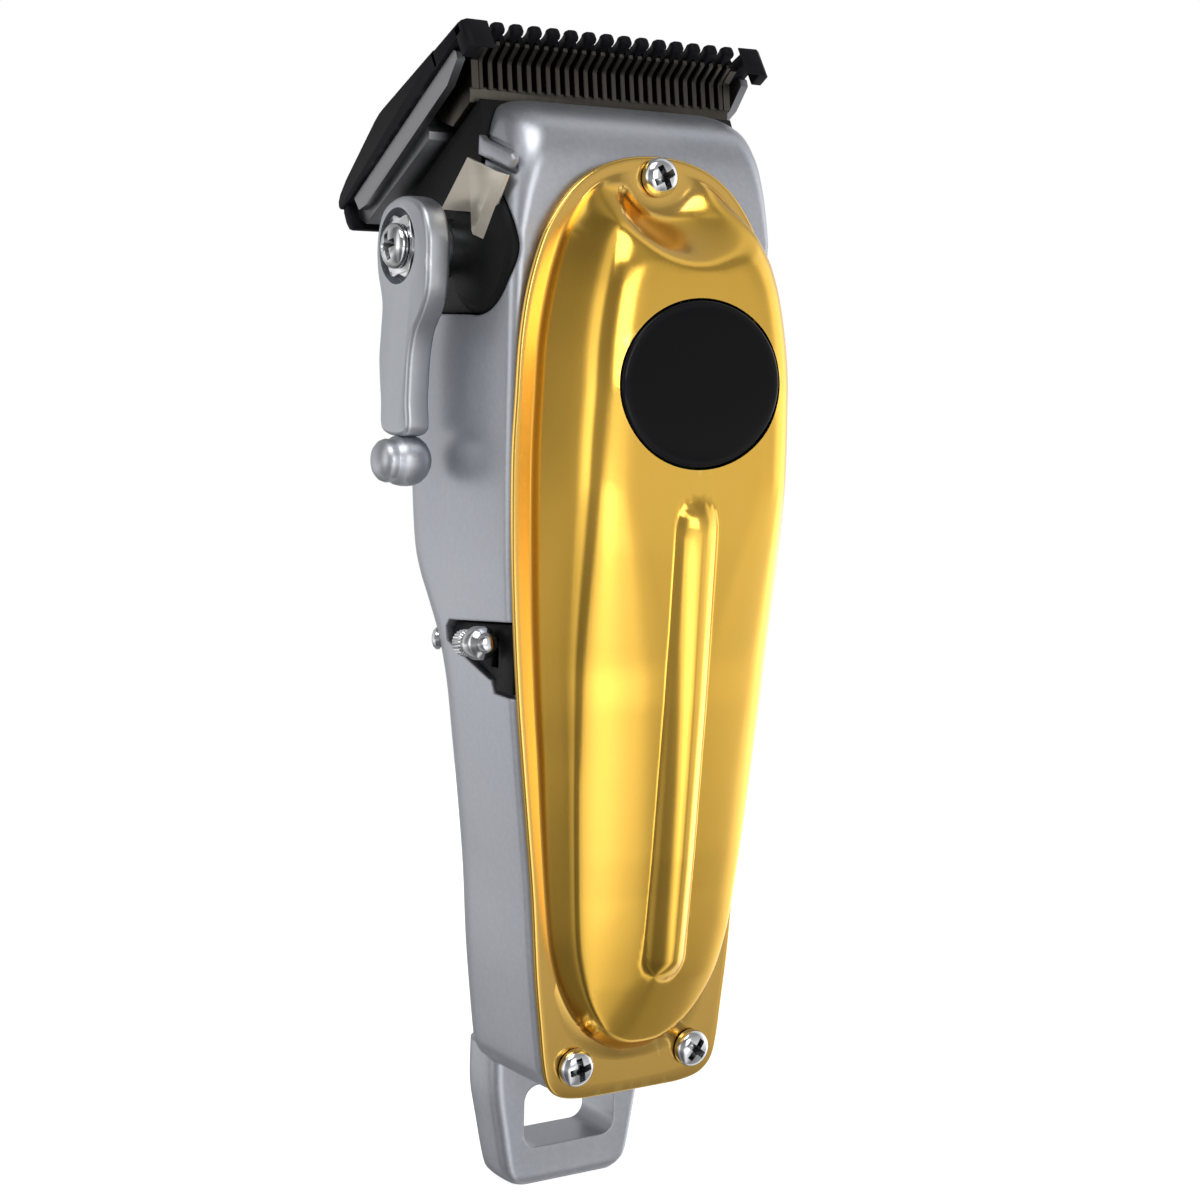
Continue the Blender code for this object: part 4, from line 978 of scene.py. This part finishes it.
def bezel_to_the_cover(place):
    """The surround reaches forward under the cover's rim."""
    h = LOOP_MID_H - place.y / MM
    if h < -3.2:
        return place
    rise = BEZEL_REACH * MM if place.z > 77.0 * MM else 0.0
    return Vector((place.x, place.y - BEZEL_REACH * MM, place.z + rise))


def seated_deeper(place):
    """The rear stud sits down into the corner's round."""
    return place + Vector(STUD_SHIFT) * MM


def carrier_widened(place):
    """The carrier's ends are pushed out towards the fixed blade's."""
    if abs(place.x) < 19.5 * MM:
        return place
    return Vector((math.copysign(CARRIER_HALF * MM, place.x), place.y, place.z))


# ---------------------------------------------------------------- blades

def round_tooth(stations):
    """Tooth with a rounded nose from (u, half width, inner face v, outer face v)."""
    rows = []
    for u, half, top, low in stations:
        ease = min(0.16, half * 0.4)
        rows.append([spot(x, *blade_spot(u, v)) for x, v in (
            (-half, low + 2 * ease), (-half + 0.6 * ease, low + 0.6 * ease), (-half + 2 * ease, low),
            (half - 2 * ease, low), (half - 0.6 * ease, low + 0.6 * ease), (half, low + 2 * ease),
            (half, top - 2 * ease), (half - 0.6 * ease, top - 0.6 * ease), (half - 2 * ease, top),
            (-half + 2 * ease, top), (-half + 0.6 * ease, top - 0.6 * ease), (-half, top - 2 * ease))])
    return skin(rows)


def fixed_blade(finish, pattern):
    """Wedge plate with long round-nosed teeth, short ones between them, an ear at each end, a heel lip."""
    outline = [(7.9, 0.0), (39.3, 0.0), (39.9, -0.25), (40.2, -0.8), (39.9, -1.5), (39.0, -2.1),
               (36.5, -2.8), (25.5, -4.5), (24.0, -4.6), (22.5, -4.45), (8.2, -2.55), (7.9, -2.5)]
    obj = piece("blade_plate", blade_prism(outline, -FIXED_HALF, FIXED_HALF), finish)
    eased(obj, 0.25)
    teeth = piece("long_teeth", round_tooth([
        (0.00, 0.30, -0.40, -1.00), (0.10, 0.56, -0.18, -1.22), (0.32, 0.76, -0.05, -1.38),
        (0.70, 0.86, 0.0, -1.50), (1.10, 0.82, 0.0, -1.56), (1.60, 0.62, 0.0, -1.62), (2.3, 0.48, 0.0, -1.70),
        (5.0, 0.43, 0.0, -2.05), (8.6, 0.42, 0.0, -2.55)]), None)
    pattern.use(teeth, Count=LONG_TEETH, Pitch=FIXED_PITCH * MM, Finish=finish)
    shorts = piece("short_teeth", round_tooth([
        (2.22, 0.20, -0.4, -1.1), (2.36, 0.40, -0.12, -1.45), (2.75, 0.50, 0.0, -1.6), (3.3, 0.44, 0.0, -1.7),
        (5.0, 0.41, 0.0, -2.05), (8.6, 0.42, 0.0, -2.55)]), None)
    pattern.use(shorts, Count=LONG_TEETH + 1, Pitch=FIXED_PITCH * MM, Finish=finish)
    ends = bmesh.new()
    for side in (-1.0, 1.0):
        skin([[spot(side * x, *blade_spot(u, v - 0.125 * u * bool(v))) for x, u in EAR_ROOT]
              for v in (0.0, -1.3)], ends)
        skin([[spot(side * x, *blade_spot(u, v)) for x, u in EAR_FACE]
              for v in (EAR_HEIGHT, 1.0, -1.3)], ends)
    blade_prism([(38.2, -0.5), (39.3, -0.5), (39.7, 0.4), (39.8, 2.0), (39.5, 3.2), (38.9, 3.8), (38.2, 4.0)],
                -22.7, 22.7, ends)
    corners = piece("end_teeth", ends, None)
    eased(corners, 0.3)
    joined(obj, (teeth, shorts, corners))
    holes = bmesh.new()
    h, z = blade_spot(BLADE_SCREW_U, 0.0)
    for x in (-BLADE_SCREW_X, BLADE_SCREW_X):
        turned([(SCREW_HOLE_R, -2.6), (SCREW_HOLE_R, 3.0)], (x, h, z), BLADE_OUT, 24, holes)
    carve(obj, ("DIFFERENCE", holes), degrees=FINE_CORNERS)
    one_finish(obj, finish)
    return fit(obj, "blade_set", "black_blade", "fixed_blade")


def cutter_comb(finish, pattern):
    """Moving comb: a bent back strip with fine teeth that lie on the fixed blade."""
    drop_u, drop_v = KNEE_DROP * math.sin(BLADE_ANGLE), KNEE_DROP * math.cos(BLADE_ANGLE)
    base_u, base_v = KNEE_U + drop_u, KNEE_V + drop_v
    mid_u, mid_v = KNEE_U + drop_u * 0.62, KNEE_V + drop_v * 0.62
    back = [(9.2, 0.1), (15.4, 0.1), (15.4, 2.8), (13.0, base_v), (base_u, base_v), (mid_u, mid_v),
            (9.2, 1.2)]
    obj = piece("comb", blade_prism(back, -CUTTER_HALF, CUTTER_HALF), finish)
    eased(obj, 0.15)
    root = [(9.6, 0.12), (9.6, 1.4), (mid_u + 0.5, mid_v - 0.2), (mid_u - 0.25, mid_v + 0.5)]
    side = [(CUTTER_TIP_U, 0.12), *root, (KNEE_U + 0.12, KNEE_V + 0.22), (KNEE_U - 0.35, KNEE_V - 0.08),
            (CUTTER_TIP_U + 0.15, 0.55)]
    slices = [(-0.40, 0.26), (-0.34, 0.09), (-0.22, 0.0), (0.22, 0.0), (0.34, 0.09), (0.40, 0.26)]
    teeth = piece("comb_teeth", skin([
        [spot(x, *blade_spot(u + shrink, v - (shrink if v > 0.2 else 0.0))) for u, v in side]
        for x, shrink in slices]), None)
    pattern.use(teeth, Count=CUTTER_TEETH, Pitch=TOOTH_PITCH * MM, Finish=finish)
    ends = bmesh.new()
    corner = [(CUTTER_TIP_U + 0.45, 0.12), *root, (KNEE_U, KNEE_V + 0.05), (CUTTER_TIP_U + 0.55, 0.65)]
    for low, high in ((-CUTTER_HALF, -19.0), (19.0, CUTTER_HALF)):
        blade_prism(corner, low, high, ends)
    corners = piece("comb_ends", ends, None)
    joined(obj, (teeth, corners))
    one_finish(obj, finish)
    return fit(obj, "cutter", "dark_steel", "cutter_blade")


# ---------------------------------------------------------------- lever and switch

def lever(silver, bright):
    ring = ring_of(LEVER_OUTLINE, 120)
    arm = piece("arm", pillowed(ring, HUB[0], -23.4, 0.75), silver, KNOB_CORNERS)
    cup = [(4.9, -3.0), (4.85, 0.3), (4.75, 1.9), (3.6, 1.9), (3.5, 0.9), (1.8, 0.9), (1.8, 7.0)]
    carve(arm, ("DIFFERENCE", turned(cup, HUB, (1, 0, 0), 72)), degrees=HUB_CORNERS)
    fit(arm, "lever", "satin_silver", "lever_arm")
    knob_profile = [(0.3, -4.4), (1.3, -4.32), (2.1, -4.0), (2.6, -3.5), (2.82, -2.9), (2.78, -2.4),
                    (2.86, -2.05), (3.12, -1.6), (3.3, -0.8), (3.35, 0.0), (3.28, 0.8), (3.02, 1.6),
                    (2.5, 2.3), (1.7, 2.9), (0.8, 3.15), (0.2, 3.2)]
    knob = piece("arm_knob", turned(knob_profile, LEVER_KNOB, (1, 0, 0), 48), silver, ROUND_CORNERS)
    fit(knob, "lever", "satin_silver", "lever_knob")
    seat_x = HUB[0] + 0.9
    turns = [math.tau * i / 72 for i in range(72)]
    radii = [WASHER_R - WASHER_DIP * (0.5 - 0.5 * math.cos(WASHER_POINTS * a)) for a in turns]
    star = []
    for reach, share in ((0.0, 0.97), (0.08, 1.0), (0.42, 1.0), (0.5, 0.97)):
        star.append([spot(seat_x - 0.6 + reach, HUB[1] + r * share * math.cos(a),
                          HUB[2] + r * share * math.sin(a)) for a, r in zip(turns, radii)])
    washer = piece("hub_washer", skin(star), bright)
    carve(washer, ("DIFFERENCE", turned([(1.8, -2.0), (1.8, 2.0)], (seat_x, HUB[1], HUB[2]), (1, 0, 0), 32)))
    fit(washer, "lever", "chrome_screw", "lever_washer")


def switch_knob(finish):
    """Stepped turned knob with fine knurls, on a flat stem through the bezel's slot."""
    profile = [(0.9, -1.0), (1.5, -0.95), (1.75, -0.7), (1.75, 0.8), (1.45, 1.05), (1.35, 2.3), (1.8, 2.5),
               (2.15, 2.8), (2.15, 4.1), (1.9, 4.5), (1.5, 4.75), (1.3, 4.95), (1.25, 5.7), (1.05, 6.1),
               (0.7, 6.25)]
    knurl = (2, 3, 24, 0.12)
    knob = turned(profile, SWITCH, SWITCH_WAY, 120, None, knurl)
    obj = piece("switch_stud", knob, finish, KNOB_CORNERS)
    stem = prism([(-6.8, 75.9), (-5.7, 75.9), (-5.7, 77.0), (-6.8, 77.0)], -21.8, -15.9)
    carve(obj, ("UNION", stem))
    one_finish(obj, finish)
    return fit(obj, "switch", "chrome_screw", "power_knob")


# ---------------------------------------------------------------- the whole

def build():
    silver, gold = blasted_silver(), gold_plate()
    black = moulded_black("moulded black frame")
    blade = black_steel()
    dark = ground_steel("dark ground steel", (0.035, 0.031, 0.026), (0.105, 0.095, 0.082), 0.33, 0.3)
    carrier = ground_steel("grey carrier steel", (0.13, 0.13, 0.135), (0.26, 0.26, 0.27), 0.36, 0.5)
    lever_silver = satin_lever()
    bright = chrome()
    steel = ground_steel("bright turned steel", (0.40, 0.41, 0.43), (0.60, 0.61, 0.63), 0.25)
    brass = ground_steel("turned brass", (0.50, 0.35, 0.13), (0.68, 0.50, 0.22), 0.26)
    window = display_black()
    strip = strip_steel()
    board, wrap = circuit_board(), cell_wrap()
    red = insulation("red lead insulation", (0.36, 0.010, 0.010), (0.52, 0.025, 0.02))
    lead_black = insulation("black lead insulation", (0.010, 0.010, 0.011), (0.026, 0.026, 0.028))

    rows, seats = row_pattern(), seat_pattern()
    casting(silver)
    cover(gold)
    display_glass(window)
    fixed_blade(blade, rows)
    cutter_comb(dark, rows)
    lever(lever_silver, bright)
    switch_knob(bright)
    slot_tab(silver)
    spring_strip(strip)

    screw = fastener("cover screw form", 2.5, 1.1, 6.0)
    small = fastener("small screw form", 2.25, 1.1, 4.6)
    hub_screw = fastener("hub screw form", 2.9, 1.4, 5.4)
    front = (0.0, 1.0, 0.0)
    fit(on_seats("cover_screws", [(COVER_SEATS[0], front, 0.5), (COVER_SEATS[1], front, 0.2),
                                  (COVER_SEATS[2], front, 0.9)], screw, bright, seats),
        "housing", "chrome_screw", "cover_screw_top", "cover_screw_left", "cover_screw_right")
    inside = [(seat, front, 0.3) for seat in CHASSIS_SCREWS]
    fit(on_seats("chassis_screws", inside, small, bright, seats),
        "housing", "chrome_screw", "chassis_screw_left", "chassis_screw_right")
    h, z = blade_spot(BLADE_SCREW_U, 3.1)
    under = [((x, h, z), BLADE_OUT, 0.6) for x in (-BLADE_SCREW_X, BLADE_SCREW_X)]
    fit(on_seats("blade_screws", under, small, bright, seats),
        "blade_set", "chrome_screw", "blade_screw_left", "blade_screw_right")
    at_hub = [((HUB[0] + 0.2, HUB[1], HUB[2]), (-1.0, 0.0, 0.0), 0.25)]
    fit(on_seats("hub_screw", at_hub, hub_screw, bright, seats),
        "lever", "chrome_screw", "lever_screw")
    discard((screw, small, hub_screw))

    refined("chassis", "chassis_frame", "housing", "black_plastic", black, 0.2, boss_drawn_in)
    plate = refined("blade_carrier", "carrier_plate", "blade_set", "dark_steel", carrier, 0.25,
                    carrier_widened)
    cheeks = bmesh.new()
    for low, high in ((-22.5, -21.35), (21.35, 22.5)):
        blade_prism(CHEEK, low, high, cheeks)
    carve(plate, ("UNION", cheeks), degrees=FINE_CORNERS)
    refined("cutter_follower", "cutter_yoke", "cutter", "black_plastic", black, 0.2)
    refined("switch_bezel", "switch_surround", "housing", "black_plastic", black, 0.12,
            bezel_to_the_cover)
    refined("rear_screw", "rear_stud", "housing", "chrome_screw", bright, 0.0, seated_deeper)
    refined("lever_cam", "cam", "lever", "bright_steel", steel, 0.1)
    refined("charge_socket", "charging_port", "housing", "black_plastic", black, 0.12)

    kept = {"display_board": board, "main_board": board, "power_switch_body": black, "motor_can": steel,
            "motor_end_cap": black, "battery_cell": wrap, "motor_lead_red": red, "battery_lead_red": red,
            "motor_lead_black": lead_black, "battery_lead_black": lead_black, "motor_shaft": steel,
            "drive_eccentric": brass}
    for node, finish in kept.items():
        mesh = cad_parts[node].data
        if mesh.materials:
            mesh.materials[0] = finish
        else:
            mesh.materials.append(finish)


def pale_floor():
    """A round pale floor that reflections leave out."""
    rows = [[Vector((radius * cos, radius * sin, 0.0)) for cos, sin in around(64)]
            for radius in (0.30, 0.15, 0.06, 0.02)]
    bm = skin(rows, caps=False)
    bm.faces.new([v for v in bm.verts if v.co.length < 0.021])
    for face in bm.faces:
        if face.normal.z < 0.0:
            face.normal_flip()
    f = Finish("pale floor", (0.86, 0.86, 0.86), 0.6, 0.0, Emission_Strength=0.75,
               Emission_Color=(1.0, 1.0, 1.0, 1.0))
    f.set("Roughness", 0.55 + f.grain(60.0) * 0.1)
    floor = placed("floor", poured("floor", bm, f.made))
    floor.visible_glossy = False


def surround():
    """White to the camera; what surfaces mirror changes with bearing and height."""
    world = bpy.data.worlds.new("soft surround")
    bpy.context.scene.world = world
    world.use_nodes = True
    sky = NodeTree(world.node_tree)
    place = sky.node("ShaderNodeTexCoord").outputs["Generated"]
    parts = sky.node("ShaderNodeSeparateXYZ", None, {0: place}).outputs
    west, south, up = Level(sky, parts["X"]) * -1.0, Level(sky, parts["Y"]) * -1.0, Level(sky, parts["Z"])
    bearing = west.sum_of("ARCTAN2", west, south)
    share = sky.node("ShaderNodeMapRange", None,
                     {"Value": bearing, "From Min": -math.pi, "From Max": math.pi}).outputs[0]
    bands = []
    for table in (GLOW_ABOVE, GLOW_BELOW):
        stops = [((angle + 180.0) / 360.0, (level, level, level * 1.01)) for angle, level in table]
        bands.append(sky.node("ShaderNodeValToRGB", {"stops": stops}, {0: share}).outputs[0])
    room = sky.blend(up.between(-0.08, -0.20), *bands)
    rise = sky.node("ShaderNodeMapRange", None, {"Value": up, "From Min": -1.0, "From Max": 1.0}).outputs[0]
    stops = [((height + 1.0) / 2.0, (level, level, level)) for height, level in GLOW_HEIGHTS]
    depth = sky.node("ShaderNodeValToRGB", {"stops": stops}, {0: rise}).outputs[0]
    glow = sky.tree.nodes["Background"]
    sky.feed(glow.inputs["Color"], sky.blend(1.0, room, depth, "MULTIPLY"))
    sky.feed(glow.inputs["Strength"], 2.5)
    white = sky.node("ShaderNodeBackground", None, {"Color": (1.0, 1.0, 1.0, 1.0), "Strength": 1.0})
    seen = sky.node("ShaderNodeLightPath").outputs["Is Camera Ray"]
    mixed = sky.node("ShaderNodeMixShader", None, {0: seen, 1: glow.outputs[0], 2: white.outputs[0]})
    sky.feed(sky.tree.nodes["World Output"].inputs["Surface"], mixed.outputs[0])


def lamps():
    for name, place, size, power in (("overhead box", (-0.25, -0.35, 0.75), 0.45, 2.2),
                                     ("front box", (-0.05, -0.85, 0.30), 0.35, 1.0)):
        light = bpy.data.lights.new(name, "AREA")
        light.shape = "SQUARE"
        light.size = size
        light.energy = power
        lamp = placed(name, light)
        lamp.location = place
        aim = Vector((0.0, 0.0, 0.08)) - Vector(place)
        lamp.rotation_euler = aim.to_track_quat("-Z", "Y").to_euler()


def camera():
    data = bpy.data.cameras.new("camera")
    data.sensor_width = 36.0
    data.lens = 69.545
    data.clip_start = 0.01
    obj = placed("camera", data)
    right = Vector((0.84005539, -0.54186819, 0.02618787))
    up = Vector((0.04144151, 0.1122283, 0.99281791))
    back = Vector((-0.54091547, -0.83293678, 0.11673382))
    turn = Matrix((right, up, back)).transposed().to_4x4()
    obj.matrix_world = Matrix.Translation((-0.166552, -0.264471, 0.116870)) @ turn
    bpy.context.scene.camera = obj


build()
pale_floor()
surround()
lamps()
camera()
bpy.context.scene.view_settings.view_transform = "Standard"
